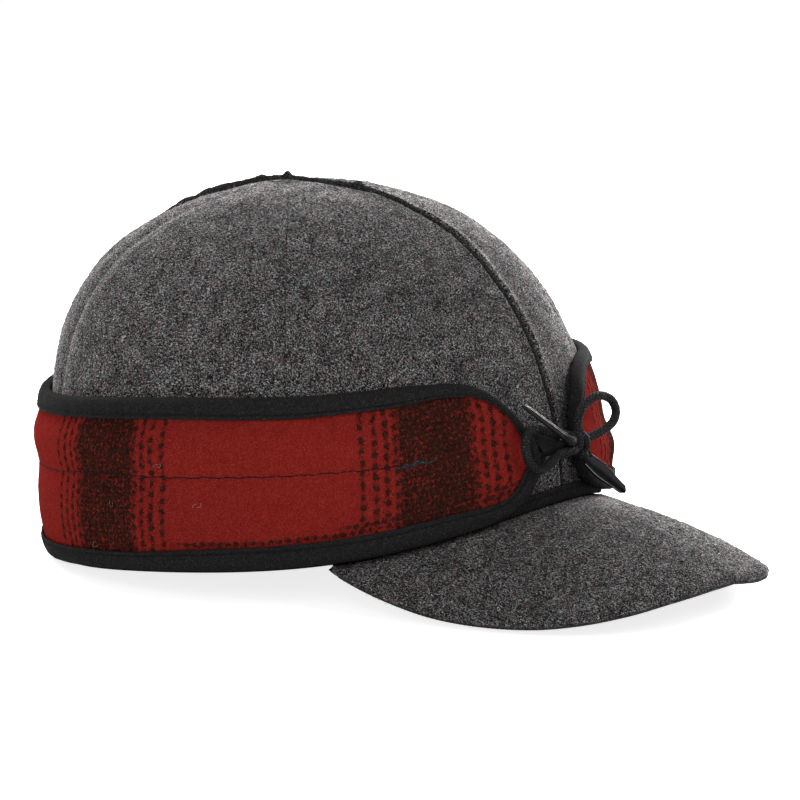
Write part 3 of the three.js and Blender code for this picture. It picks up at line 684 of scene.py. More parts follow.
def seam_side(seam_angle, distance, share):
    """The angle at which each share of a panel lies a distance to one side of a seam's upright plane."""
    foot = crown_point(np.array(seam_angle), np.array(0.0)) - np.array([0, APEX_Y, 0])
    foot[2] = 0
    foot = unit(foot)
    turn = distance / BASE_HALF_LENGTH * np.ones_like(share)
    for _ in range(8):
        point = meridian_point(seam_angle + turn, share)
        turn *= abs(distance) / np.abs(foot[0] * (point[..., 1] - APEX_Y) - foot[1] * point[..., 0])
    return seam_angle + turn


def crown_panel(word, side, panel, start, end):
    """One panel of the crown, its joints with its neighbours sunk and its front edge standing up."""
    share = np.linspace(0, 1, PANEL_ROWS + 1) ** 0.92
    left = seam_side(math.radians(start), RIDGE_HALF_WIDTH + 0.1 if start == 0 else 0.05, share)
    right = seam_side(math.radians(end), -RIDGE_HALF_WIDTH - 0.1 if end == 180 else -0.05, share)
    even = np.linspace(0, 1, PANEL_COLUMNS + 1)
    across = even - np.sin(2 * np.pi * even) / (2 * np.pi) * 0.72
    angle = left[:, None] + (right - left)[:, None] * across
    face = meridian_point(angle, share[:, None])
    normal = grid_normals(face)
    radius = np.linalg.norm(face[..., :2] - [0, APEX_Y], axis=-1)
    gap = np.full_like(angle, 1e3)
    if start != 0:
        gap = np.minimum(gap, (angle - math.radians(start)) * radius)
    if end != 180:
        gap = np.minimum(gap, (math.radians(end) - angle) * radius)
    fade = (np.clip(share / 0.12, 0, 1) * np.clip((1 - share) / 0.14, 0, 1))[:, None]
    dent = SEAM_VALLEY * fade * bell(gap, SEAM_VALLEY_REACH)
    dent += SEAM_GROOVE * np.clip(share / 0.05, 0, 1)[:, None] * np.exp(-gap / SEAM_GROOVE_REACH)
    if 127 in (start, end):
        dent += BACK_VALLEY * fade * bell(gap, BACK_VALLEY_REACH)
    face[..., 0] *= side
    normal[..., 0] *= side
    soft = 0.28 * waver(face, 17, 3) + 0.16 * waver(face, 7, 5)
    if start == 0:
        across_ridge = np.abs(face[..., 0]) - RIDGE_HALF_WIDTH
        lip = eased(share, LIP_SHARES, LIP_LEFT if side < 0 else LIP_RIGHT)[:, None]
        dent -= lip * (1 + 0.16 * waver(face, 6, 61)) * bell(across_ridge, LIP_REACH)
        lean = eased(share, (0, 0.1, 0.6, 0.8), (0.2, 1, 1, 0.5)) * np.clip(share / 0.1, 0, 1)
        lean = LIP_LEAN * lean[:, None] * np.exp(-across_ridge / 1.2)
        lean *= np.clip(0.82 + 0.22 * waver(face, 4, 62) + 0.16 * waver(face, 1.6, 63), 0, 1)
        face[..., 0] -= side * lean
    outer = face + normal * (soft * fade - dent)[..., None]
    crown_faces.append((outer, normal, angle))
    inner = face - normal * (CROWN_WALL + np.maximum(dent, 0) * 0.5)[..., None]
    name = f"{panel}_{word}"
    shell_piece(f"melton_{name}", outer, inner, crown_wool, "wool_grey", [f"crown_panel_{name}"])


crown_faces = []
for word, side in (("right", 1), ("left", -1)):
    for panel in PANEL_SEAMS:
        crown_panel(word, side, *panel)

# The crown's nap: single wool fibres that have worked loose. Most lie on the cloth, and some
# stand out of it, so the crown's outline is faintly hairy.
NAP_COUNT = 8600
NAP_LENGTHS = (1.0, 2.6)
NAP_RADIUS = 0.065
NAP_CLEAR_HEIGHT = 61.0
NUB_PLACE = (math.radians(69), 0.975)
NUB_FIBRES = 140


def grained(name, roughness, specular, grain, stops, relief=None):
    """A material whose grey, and relief if any, follows one noise."""
    material, tree, shader = new_material(name, roughness, specular)
    tone = noise(object_place(tree), *grain)
    feed(ramp(tone, stops), shader["Base Color"])
    if relief:
        bump(tone, shader, *relief)
    return material


fibre_material = grained(
    "loose_wool_fibre", 0.9, 0.1, (420, 2.0, 0.8), [(0.36, 0.01), (0.5, 0.09), (0.64, 0.4)]
)


def fibres(starts, normals, lengths, rises, random):
    """Vertices and faces of closed three-sided hairs that start on a cloth and bend along it."""
    count = len(starts)
    ways = unit(np.cross(normals, random.normal(size=(count, 3))))
    across = np.cross(normals, ways)
    t = np.linspace(0, 1, 4)[None, :, None]
    length = lengths[:, None, None]
    curl = random.normal(0, 0.3, count)[:, None, None]
    rise = rises[:, None, None] * np.sin(t * random.uniform(1.4, 2.7, count)[:, None, None]) - 0.05
    line = starts[:, None] + ways[:, None] * t * length + across[:, None] * curl * t * t * length
    line = line + normals[:, None] * rise
    turn = np.arange(3) * 2 * np.pi / 3
    ring = np.cos(turn)[:, None] * across[:, None] + np.sin(turn)[:, None] * normals[:, None]
    radius = NAP_RADIUS * np.array([0.6, 1, 1, 0.4])[None, :, None, None]
    vertices = line[:, :, None] + ring[:, None] * radius
    pattern = np.array(tube_faces(4, 3)[:9])
    shift = (np.arange(count) * 12)[:, None, None]
    faces = (pattern + shift).reshape(-1, 4).tolist()
    faces += (np.array([[2, 1, 0], [9, 10, 11]]) + shift).reshape(-1, 3).tolist()
    return vertices.reshape(-1, 3), faces


def strewn(faces_of_cloth, count, allowed, random):
    """Random places on cloth grids, evenly by area, with the cloth's direction there."""
    places, directions, weights = [], [], []
    for grid, normal, angle in faces_of_cloth:
        sides = grid[1:, :-1] - grid[:-1, :-1], grid[:-1, 1:] - grid[:-1, :-1]
        area = np.linalg.norm(np.cross(*sides), axis=-1) * allowed(grid, angle)[:-1, :-1]
        pick = random.choice(area.size, size=2 * count, p=(area / area.sum()).ravel())
        row, column = np.unravel_index(pick, area.shape)
        down, right = random.uniform(0, 1, (2, 2 * count, 1))
        places.append(
            grid[row, column] * (1 - down) * (1 - right) + grid[row + 1, column] * down * (1 - right)
            + grid[row, column + 1] * (1 - down) * right + grid[row + 1, column + 1] * down * right
        )
        directions.append(normal[row, column])
        weights.append(area.sum())
    shares = random.choice(len(weights), size=count, p=np.array(weights) / sum(weights))
    return tuple(np.array([found[k][i] for i, k in enumerate(shares)]) for found in (places, directions))


def open_crown(grid, angle):
    """Where the crown is not under the earband."""
    turn = np.mod(angle, 2 * np.pi)
    front = np.minimum(turn, 2 * np.pi - turn) < math.radians(2)
    height = grid[..., 2] - rim_height(angle)
    return (height > NAP_CLEAR_HEIGHT) | (front & (height > 26))


def nap_heights(count, share, tall, low):
    """How far each fibre rises: a share of them stand up, the others lie close."""
    standing = nap_random.uniform(size=count) < share
    return np.where(standing, tall, low) * nap_random.uniform(0.4, 1.1, count)


nap_random = np.random.default_rng(91)
nap_starts, nap_normals = strewn(crown_faces, NAP_COUNT, open_crown, nap_random)
nub_grid, nub_normal, nub_angle = crown_faces[1]
nub_centre = meridian_point(*NUB_PLACE)
nub_row = np.unravel_index(np.linalg.norm(nub_grid - nub_centre, axis=-1).argmin(), nub_grid.shape[:2])
nub_starts = nub_grid[nub_row] + nap_random.normal(0, 1, (NUB_FIBRES, 3)) * [1.0, 1.0, 0.1]
nap_starts = np.vstack([nap_starts, nub_starts])
nap_normals = np.vstack([nap_normals, np.tile(nub_normal[nub_row], (NUB_FIBRES, 1))])
nap_lengths = nap_random.uniform(*NAP_LENGTHS, len(nap_starts))
nap_rises = nap_heights(len(nap_starts), 0.2, 1.0, 0.22)
nap_rises[-NUB_FIBRES:] = nap_random.uniform(0.3, 0.9, NUB_FIBRES)
nap = fibres(nap_starts, nap_normals, nap_lengths, nap_rises, nap_random)
make_piece("crown_nap", *nap, fibre_material, "wool_grey")

# The raised centre seam: the edges of the two crown halves stand up together from front to back
# and are overlocked, so black thread wraps over them in close slanting stitches.
RIDGE_START = 5.8
RIDGE_SHARES = (0, 0.06, 0.12, 0.33, 0.37, 0.42, 0.46, 0.5, 0.56, 0.62, 0.68, 0.73, 0.78, 0.84, 1)
RIDGE_HEIGHTS = (0.3, 0.3, 0.4, 0.8, 1.5, 1.7, 1.3, 1.3, 1.8, 3.3, 5.5, 5.2, 3.2, 0.6, 0.1)
RIDGE_WIDTHS = (0.3, 0.32, 0.34, 0.4, 0.65, 0.85, 0.8, 0.85, 1.0, 1.05, 1.05, 1.0, 0.95, 0.9, 0.9)
RIDGE_LEANS = (0, 0, 0, 0, 0, 0, 0, 0, -0.5, -1.2, -1.5, -1.5, -0.8, 0, 0)
RIDGE_STEP = 0.25
RIDGE_KNOBS = ((0.411, 1.3, 1.6), (0.503, 1.7, 1.4), (0.5375, 0.9, 1.8), (0.64, 0.4, 2.4), (0.7, 0.5, 1.8))
OVERLOCK_PITCH = 1.45
OVERLOCK_RELIEF = 0.22
OVERLOCK_SLANT = 0.55


def even_line(line, step):
    """The same line with points at even steps, and each one's way along it."""
    way = way_along(line)
    wanted = np.linspace(0, way[-1], int(way[-1] / step))
    return at_ways(wanted, way, line), wanted


half_shares = np.linspace(0, 1, 160)
ridge_front = meridian_point(0.0, half_shares, RIDGE_START)
ridge_back = meridian_point(np.pi, half_shares, RIDGE_START)[::-1]
ridge_apex = np.array([[0, APEX_Y, APEX_Z]])
front_line, front_way = even_line(np.vstack([ridge_front, ridge_apex]), RIDGE_STEP)
back_line, back_way = even_line(np.vstack([ridge_apex, ridge_back]), RIDGE_STEP)
ridge_line = np.vstack([front_line[:-1], back_line])
ridge_share = np.concatenate([0.5 * front_way[:-1] / front_way[-1], 0.5 + 0.5 * back_way / back_way[-1]])
ridge_way = np.concatenate([front_way[:-1], front_way[-1] + back_way])
ridge_along = unit(np.gradient(ridge_line, axis=0))
ridge_up = unit(np.cross([1.0, 0, 0], ridge_along))
ridge_tall = eased(ridge_share, RIDGE_SHARES, RIDGE_HEIGHTS)
ridge_wide = eased(ridge_share, RIDGE_SHARES, RIDGE_WIDTHS)
for knob_share, knob_height, knob_reach in RIDGE_KNOBS:
    knob = bell(ridge_way - np.interp(knob_share, ridge_share, ridge_way), knob_reach)
    ridge_tall = ridge_tall + knob_height * knob
    ridge_wide = ridge_wide + 0.35 * knob
ridge_body = np.clip(ridge_tall - 0.8, 0, 1)
ridge_tall = ridge_tall + (0.2 * waver(ridge_line, 5, 11) + 0.16 * waver(ridge_line, 1.7, 13)) * ridge_body
ridge_lean = (0.25 * waver(ridge_line, 13, 12) + 0.12 * waver(ridge_line, 2.5, 14)) * ridge_body
ridge_lean = ridge_lean + eased(ridge_share, RIDGE_SHARES, RIDGE_LEANS)
wrap_drift = 0.35 * waver(ridge_line, 3.5, 15)
ridge_profile = [(-1, None), (1, None)]
ridge_profile += [(math.cos(turn), math.sin(turn)) for turn in np.linspace(0, np.pi, 17)]
ridge_rings = []
for x, z in ridge_profile:
    if z is None:
        side, height = x * ridge_wide, -CROWN_WALL + 0 * ridge_tall
    else:
        wrap = OVERLOCK_RELIEF * np.cos(2 * np.pi * (ridge_way / OVERLOCK_PITCH + OVERLOCK_SLANT * x + wrap_drift))
        rough = 0.1 * waver(ridge_line + [7 * x, 0, 7 * z], 1.1, 16)
        swell = (wrap + rough) * np.clip(ridge_tall, 0.2, 1)
        side, height = x * (ridge_wide * 0.92 + swell * 0.8), ridge_tall - 0.85 + z * (0.85 + swell)
    side = side + ridge_lean * np.clip(height / 2, 0, 1)
    ridge_rings.append(ridge_line + side[:, None] * np.array([1.0, 0, 0]) + height[:, None] * ridge_up)
thread_material = grained(
    "overlock_thread", 0.85, 0.15, (2100, 3.0, 0.65),
    [(0.3, 0.004), (0.48, 0.016), (0.6, 0.062), (0.74, 0.2)], (0.0002, 0.9),
)
make_piece(
    "overlocked_centre_seam", np.stack(ridge_rings, axis=1), tube_faces(len(ridge_line), len(ridge_profile)),
    thread_material, "seam_thread", ["crown_seam"],
)


def make_threads(name, tubes, material, slot="seam_thread"):
    """One piece of several closed tubes."""
    vertices, faces, base = [], [], 0
    for rings in tubes:
        faces += [[i + base for i in face] for face in tube_faces(*rings.shape[:2])]
        vertices.append(rings.reshape(-1, 3))
        base += len(vertices[-1])
    make_piece(name, np.vstack(vertices), faces, material, slot)


# The frays: loose ends and loops of the overlock thread that stand out of the ridge here and
# there, where wear has pulled its fine filaments out of the stitches.
FRAY_COUNT = 260
fray_random = np.random.default_rng(71)
frays = []
for share in fray_random.uniform(0.35, 0.8, FRAY_COUNT):
    row = int(np.searchsorted(ridge_share, share))
    start = ridge_line[row] + ridge_up[row] * ridge_tall[row] * fray_random.uniform(0.3, 0.95)
    start = start + np.array([fray_random.choice([-1, 1]) * ridge_wide[row] * 0.8, 0, 0])
    aim = unit(
        ridge_along[row] * fray_random.normal(0, 1) + ridge_up[row] * fray_random.uniform(-0.2, 0.7)
        + np.array([fray_random.normal(0, 0.5), 0, 0])
    )
    curl = ridge_up[row] * fray_random.uniform(-0.9, 0.2) + ridge_along[row] * fray_random.normal(0, 0.4)
    t = np.linspace(0, fray_random.uniform(0.7, 1.9), 5)[:, None]
    frays.append(tube_points(start + aim * t + curl * t * t * 0.35, fray_random.uniform(0.08, 0.14), sides=4))
make_threads("overlock_frays", frays, thread_material)

# The rim binding: one black bias tape folded over the crown's raw lower edge and stitched
# through, so that it shows as a narrow band above the peak and lies flat where the cap rests.
RIM_STEPS = 480
RIM_PROFILE = (
    (0.3, 5.3), (0.42, 5.6), (0.8, 5.72), (1.1, 5.45), (1.14, 4.4), (1.0, 3.9), (1.18, 3.4), (1.16, 1.6),
    (0.95, 0.55), (0.3, 0.08), (-0.6, 0), (-2.8, 0), (-3.6, 0.1), (-3.95, 0.6), (-4.02, 2.6),
    (-3.95, 4.8), (-3.6, 5.05), (-3.25, 4.8), (-3.2, 2.6), (-3.1, 0.85), (-1.5, 0.8), (0, 0.8), (0.3, 1.1),
    (0.3, 3.2),
)


def tape_group():
    """Plain tape cloth: fine crossing yarns with a little lint, and their relief."""
    group, entry, leave = new_group("tape_weave", ("Fineness",), ("Yarn", "Lint", "Height"))
    scaled = vector_maths("SCALE", object_place(group), {"Scale": entry["Fineness"]})
    yarn = noise(scaled, 1900, 3.0, 0.7, 0.6)
    lint = maths("GREATER_THAN", noise(scaled, 900, 2.0, 0.8, 2.0), 0.74)
    for value, socket in zip((yarn, lint, yarn + noise(scaled, 120) * 0.8), leave):
        feed(value, socket)
    return group


tape_material, tape_tree, tape_shader = new_material("black_bias_tape", 0.9, 0.05)
tape = use_group(tape_tree, tape_group(), Fineness=1.0)
tape_tone = ramp(tape["Yarn"] + tape["Lint"] * 0.35, [(0.3, 0.006), (0.55, 0.0155), (0.75, 0.048), (1.0, 0.17)])
feed(tape_tone, tape_shader["Base Color"])
bump(tape["Height"], tape_shader, 0.00022, 0.7)

rim_angle = np.linspace(0, 2 * np.pi, RIM_STEPS, endpoint=False)[:, None]
rim_offset, rim_up = np.array(RIM_PROFILE).T[:, None]
rim_points = wall_point(rim_angle, rim_up, rim_offset)
rim_pucker = 0.12 * waver(rim_points, 4.5, 21) * np.clip(rim_up / 2, 0, 1) * (rim_offset > 0.6)
rim_points = rim_points + outward(rim_angle + 0 * rim_up) * rim_pucker[..., None]
rim_faces = tube_faces(RIM_STEPS, len(RIM_PROFILE), closed=True)
make_piece("rim_tape", rim_points, rim_faces, tape_material, "binding_black", ["rim_binding"])

# The peak: two layers of the same melton over a stiffener, turned and pressed, with the joint
# of upper and under cloth running along its edge. Its root is caught in the crown's base seam.
PEAK_HALF_ANGLE = math.radians(55.1)
PEAK_REACH = 112.0
PEAK_WALL = 3.0
PEAK_END_THINNING = 1.6
PEAK_RIGHT_FULLNESS = 6.5
PEAK_LEFT_FULLNESS = 2.4
PEAK_WIDTH_POWER = 2.98
PEAK_LENGTH_POWER = 1.06
PEAK_CROWN = 4.0
PEAK_END_WIDTH = 2.6
PEAK_SHARES = (0, 0.1, 0.2, 0.3, 0.4, 0.5, 0.62, 0.73, 0.82, 0.9, 1)
PEAK_RISE_RIGHT = (15, 14.7, 12.8, 9.2, 5.9, 3.7, 3.1, 4.2, 6.8, 10, 14.8)
PEAK_RISE_LEFT = (15, 12.7, 10.8, 7.8, 4.8, 3.6, 3.1, 4.2, 6.8, 10, 14.8)
PEAK_COLUMNS = 200
PEAK_ROWS = 56
PEAK_TOP_ROUND = 1.5
PEAK_UNDER_ROUND = 1.1
PEAK_SEAM_DEPTH = 0.35
# Radius of the black thread that paints the shadow line under the peak's edge.
PEAK_SHADOW_LINE_RADIUS = 0.42
PEAK_NAP_COUNT = 3600


def through(value, places, results):
    """A smooth value from a table, its slope at each place taken from the places beside it."""
    places, results = np.asarray(places, float), np.asarray(results, float)
    slopes = np.gradient(results) / np.gradient(places)
    row = np.clip(np.searchsorted(places, value, side="right") - 1, 0, len(places) - 2)
    span = places[row + 1] - places[row]
    t = np.clip((value - places[row]) / span, 0, 1)
    return hermite(t, results[row], span * slopes[row], results[row + 1], span * slopes[row + 1])


def peak_edge():
    """The peak's outer edge, evenly stepped from its left end round the front to its right end."""
    end = wall_point(PEAK_HALF_ANGLE, -0.3, PEAK_END_WIDTH)
    turn = np.pi * (np.arange(61) / 60 - 0.5)
    wide = np.sign(turn) * np.abs(np.sin(turn)) ** (2 / PEAK_WIDTH_POWER)
    long = np.clip(np.cos(turn), 0, None) ** (2 / PEAK_LENGTH_POWER)
    full = np.where(turn > 0, PEAK_RIGHT_FULLNESS, PEAK_LEFT_FULLNESS) * np.sin(2 * turn)
    plan = np.stack([end[0] * wide - full, end[1] - PEAK_REACH * long, 0 * turn], axis=1)
    edge = smooth_line(plan, count=PEAK_COLUMNS + 1)
    share = np.linspace(-1, 1, PEAK_COLUMNS + 1)
    right, left = (through(np.abs(share), PEAK_SHARES, rise) for rise in (PEAK_RISE_RIGHT, PEAK_RISE_LEFT))
    edge[:, 2] = np.where(share > 0, right, left)
    return edge, share


def peak_faces():
    """Upper and under face of the peak, as grids from left to right and from root to edge."""
    edge, share = peak_edge()
    angle = share * PEAK_HALF_ANGLE
    under = wall_point(angle, -0.3, -CROWN_WALL - 0.3)
    root = wall_point(angle, -0.3, 1.1)
    out = 1 - (1 - np.linspace(0, 1, PEAK_ROWS)) ** 1.6
    face = root[:, None] + (edge - root)[:, None] * out[None, :, None]
    crowned = PEAK_CROWN * 4 * out[None] * (1 - out[None]) * np.cos(share * np.pi / 2)[:, None]
    face[..., 2] += crowned
    face = np.concatenate([under[:, None], face], axis=1)
    normal = grid_normals(face, inside=(0, -60, -80))
    normal[:, 0] = normal[:, 1]
    normal[:, -1] = normal[:, -2]
    inset = np.linalg.norm(face - face[:, -1:], axis=-1)
    blunt = bell(share + 0.12, 0.15)[:, None]
    wall = (PEAK_WALL - PEAK_END_THINNING * np.abs(share) ** 6)[:, None] + 0.7 * blunt

    def rounded(radius):
        part = np.clip(1 - inset / radius, 0, 1)
        return radius * (1 - np.sqrt(1 - part * part))

    top_round = np.minimum(PEAK_TOP_ROUND + 0.9 * blunt, wall * 0.72)
    soft = 0.18 * waver(face, 19, 31) + 0.1 * waver(face, 8, 33)
    soft = soft * np.clip(inset / 6, 0, 1)
    back = (face[:, -1:] - face[:, -3:-2])
    back /= np.linalg.norm(back, axis=-1)[..., None] + 1e-9
    seam = PEAK_SEAM_DEPTH * bell(inset, 0.25)
    top = face + normal * (soft - rounded(top_round))[..., None] - back * seam[..., None]
    low = face + normal * (rounded(np.minimum(PEAK_UNDER_ROUND, wall * 0.25)) - wall)[..., None]
    low = low - back * seam[..., None]
    low[..., 2] = np.maximum(low[..., 2], 0.05)
    return top, low


peak_top, peak_low = peak_faces()
# The peak gets its own copy of the crown's wool, painted 7% darker: painted shade, which darkens the peak beyond
# what the lamps give.
shell_piece("melton_peak", peak_top, peak_low, grey_wool("peak_melton_painted_shade", 0.93), "wool_grey", ["peak"])
peak_open = peak_top[:, 12:]
peak_cloth = [(peak_open, grid_normals(peak_open, inside=(0, -60, -80)), 0)]
peak_places = strewn(peak_cloth, PEAK_NAP_COUNT, lambda grid, angle: np.ones(grid.shape[:2]), nap_random)
peak_rises = nap_heights(PEAK_NAP_COUNT, 0.15, 0.8, 0.2)
peak_nap = fibres(*peak_places, nap_random.uniform(*NAP_LENGTHS, PEAK_NAP_COUNT), peak_rises, nap_random)
make_piece("peak_nap", *peak_nap, fibre_material, "wool_grey")

# The dark line under the peak's edge: black thread laid just under the rounded rim from one end to the other, a
# painted shadow standing in for the shade under the edge.
peak_rim = smooth_line(peak_low[3:-3, -1] * 0.62 + peak_top[3:-3, -1] * 0.38, step=0.6)
make_tube(
    "peak_edge_shadow_line", peak_rim, lambda a, w: PEAK_SHADOW_LINE_RADIUS * (1 + 0.12 * np.cos(2 * np.pi * w / 1.6 + a)),
    thread_material, "seam_thread", sides=8,
)

# The earband: a strip of red wool with broad dark stripes, woven so that each stripe breaks up
# into columns of dots at its sides. It is folded up round the crown, and a line of stitches
# along its middle holds it in two soft rolls.
BAND_BOTTOM = 1.5
BAND_RIGHT_END = (
    (25, 1.5), (18.3, 2.9), (13.6, 7.4), (11.2, 13), (10.4, 19), (11.4, 25), (13.7, 30.4),
    (16.4, 36.3), (20.4, 43.2), (24.8, 47.6), (30, 50.2),
)
BAND_LEFT_END = (
    (25, 1.5), (14, 2.4), (6.5, 6.4), (3.4, 12), (2.4, 19), (2.8, 26), (4.6, 33), (8.6, 39.4),
    (14.4, 44), (21.6, 47.6), (30, 50.2),
)
BAND_TOP_ANGLES = (30, 40, 50, 60, 75, 90, 120, 150, 180)
BAND_TOP_HEIGHTS = (50.2, 53.3, 55.3, 56.7, 58.4, 59.4, 59.7, 59, 58.6)
BAND_SHARES = (0, 0.14, 0.34, 0.56, 0.74, 0.89, 1)
BAND_OFFSETS_RIGHT = (2.7, 2.7, 3.4, 3.2, 4.4, 2.4, 1.6)
BAND_OFFSETS_LEFT = (2.7, 2.7, 2.7, 2.2, 2, 1.8, 1.6)
BAND_WALL = 1.6
BAND_STEP = 1.0
BAND_END_STEPS = 80
BAND_NOSE_STEPS = 4
BAND_ROWS = 72
STITCH_ANGLES = (0, 30, 45, 60, 75, 90, 105, 120, 180)
STITCH_HEIGHTS = (25, 27.2, 30, 32, 33, 33.6, 34.6, 33.8, 33)
STITCH_VALLEY = 0.55
STITCH_VALLEY_REACH = 5.0
STITCH_GROOVE = 0.45
STITCH_GROOVE_REACH = 0.55
LEFT_PUFF = 1.7
WEAVE_EASE = 67.0
STITCH_FROM = 35.0


def degree_length(angle):
    """Millimetres along the crown's base for one degree."""
    low, high = (crown_point(np.radians(angle + side), 0 * angle) for side in (-0.5, 0.5))
    return np.linalg.norm((high - low)[..., :2], axis=-1)


def band_half(end, step):
    """Half of the earband's outline, from the back of its lower edge to the back of its top edge."""
    scale = float(degree_length(np.array(15.0)))
    corners = np.array([(angle * scale, height, 0) for angle, height in end])
    curve = smooth_line(corners, count=BAND_END_STEPS + 1)[:, :2] / [scale, 1]
    low = np.arange(180, end[0][0] + step / 2, -step)
    top = np.arange(BAND_TOP_ANGLES[0] + step, 180.01, step)
    return np.vstack([
        np.stack([low, np.full_like(low, BAND_BOTTOM)], axis=1),
        curve,
        np.stack([top, through(top, BAND_TOP_ANGLES, BAND_TOP_HEIGHTS)], axis=1),
    ])


def band_offset(angle, height):
    """Offset of the earband's inner face from the crown."""
    level = 180 - np.abs(180 - np.abs(angle))
    share = height / through(np.maximum(level, 30), BAND_TOP_ANGLES, BAND_TOP_HEIGHTS)
    leftness = np.clip(-2 * np.sin(np.radians(angle)), 0, 1)
    right = through(share, BAND_SHARES, BAND_OFFSETS_RIGHT)
    left = through(share, BAND_SHARES, BAND_OFFSETS_LEFT)
    return right + (left - right) * leftness


def band_point(angle, height, offset):
    return wall_point(np.radians(angle), height, band_offset(angle, height) + offset)


def inset_outline(outline, distance):
    """The outline moved into the band by a distance."""
    after, before = np.roll(outline, -1, axis=0), np.roll(outline, 1, axis=0)
    turn = (after[:, 0] - before[:, 0] + 540) % 360 - 180
    scale = degree_length(outline[:, 0])
    along = unit(np.stack([turn * scale, after[:, 1] - before[:, 1]], axis=1))
    return outline + np.stack([along[:, 1] / scale, -along[:, 0]], axis=1) * distance


band_right = band_half(BAND_RIGHT_END, BAND_STEP)
band_left = band_half(BAND_LEFT_END, BAND_STEP)
band_outline = np.vstack([band_right, band_left[1:-1][::-1] * [-1, 1]])
band_count = len(band_outline)
band_nose = (band_count // 2 - 1) // 2
band_pairs = [(band_nose - k, band_nose + 1 + k) for k in range(BAND_NOSE_STEPS, band_nose + 1)]
band_pairs += [
    (band_count - band_nose + k, band_count - band_nose - 1 - k)
    for k in range(band_nose - 1, BAND_NOSE_STEPS - 1, -1)
]
band_inset = inset_outline(band_outline, 1.2)
band_low = band_inset[[low for low, high in band_pairs]]
band_high = band_inset[[high for low, high in band_pairs]]
band_high[:, 0] = band_low[:, 0] + (band_high[:, 0] - band_low[:, 0] + 540) % 360 - 180
band_share = np.linspace(0, 1, BAND_ROWS + 1)[None, :, None]
band_places = band_low[:, None] * (1 - band_share) + band_high[:, None] * band_share
band_angle, band_height = band_places[..., 0], band_places[..., 1]

round_angle = np.arange(-10, 371.0)
round_line = wall_point(np.radians(round_angle), 30.0, 4.5)
round_way = way_along(round_line)
round_way -= np.interp(0, round_angle, round_way)


def band_way(angle):
    """Millimetres round the earband from the front, counted toward the wearer's right."""
    return np.interp(np.mod(angle, 360), round_angle, round_way)


def stitch_height(angle):
    wander = 0.18 * np.sin(angle * 1.37) + 0.12 * np.sin(angle * 3.1 + 1)
    return wander + through(180 - np.abs(180 - np.mod(angle, 360)), STITCH_ANGLES, STITCH_HEIGHTS)


def stand_out(angle, points, by):
    """Points at angles round the crown, moved straight out of it."""
    return points + outward(np.radians(angle)) * by[..., None]


def band_relief(angle, height, points):
    """How far the outer face stands off its plain shape: the stitched valley and soft creases."""
    away = np.abs(height - stitch_height(angle))
    sewn = np.clip((180 - STITCH_FROM - np.abs(np.mod(angle, 360) - 180)) / 3, 0, 1)
    sunk = STITCH_VALLEY * bell(away, STITCH_VALLEY_REACH) + STITCH_GROOVE * sewn * bell(away, STITCH_GROOVE_REACH)
    crease = 0.3 * waver(points * [1, 1, 0.6], 14, 41) + 0.12 * waver(points, 5, 42)
    puff = LEFT_PUFF * bell(height - 18, 7) * bell(np.mod(angle, 360) - 322, 22)
    return crease + puff - sunk


def band_surface(angle, height, by=0.0):
    """Points of the earband's outer face, or a distance out of it."""
    face = band_point(angle, height, BAND_WALL)
    return stand_out(angle, face, band_relief(angle, height, face) + by)


band_inner = band_point(band_angle, band_height, 0)
band_face = band_surface(band_angle, band_height)
weave_ease = WEAVE_EASE * np.clip((np.mod(band_angle, 360) - 120) / 180, 0, 1)
band_map = np.stack([band_way(band_angle) + weave_ease, band_height], axis=-1) * MM

STRIPE_FIRST = float(band_way(np.array(34.4))) * MM
STRIPE_PITCH = 0.1187
STRIPE_DENSE = 0.0136
DOT_COLUMNS = ((0.0137, 0.0, 1.0), (0.0169, 0.5, 1.05), (0.0207, 0.0, 1.1), (0.0251, 0.5, 1.0))
DOT_PITCH = 0.0037
DOT_WIDTH = 0.00195
SPECK_PITCH = 0.0034
EDGE_ROW_HEIGHTS = ((0.0108, 0.145), (0.0128, 0.088))


def dot_group():
    """One column of soft dark dots of a woven stripe's side, and the smear between them."""
    names = ("Across", "Along", "Place", "Phase", "Width", "Pitch", "Ragged")
    group, entry, leave = new_group("dot_column", names, ("Dark",))
    across = (entry["Across"] - entry["Place"]) / entry["Width"]
    along = maths("FRACT", entry["Along"] / entry["Pitch"] + entry["Phase"]) - 0.5
    along = along * entry["Pitch"] / entry["Width"] * 0.82
    square = across * across + along * along
    ragged = square * 4.0 + entry["Ragged"] * (square * 2.4 + 0.2)
    dark = maths("MULTIPLY", maths("SUBTRACT", 1.35, ragged, clamp=True), 1.35, clamp=True)
    beside = across * across * 3.4 + entry["Ragged"] * 0.6
    feed(maths("MAXIMUM", dark, maths("SUBTRACT", 1.1, beside, clamp=True) * 0.5), leave["Dark"])
    return group


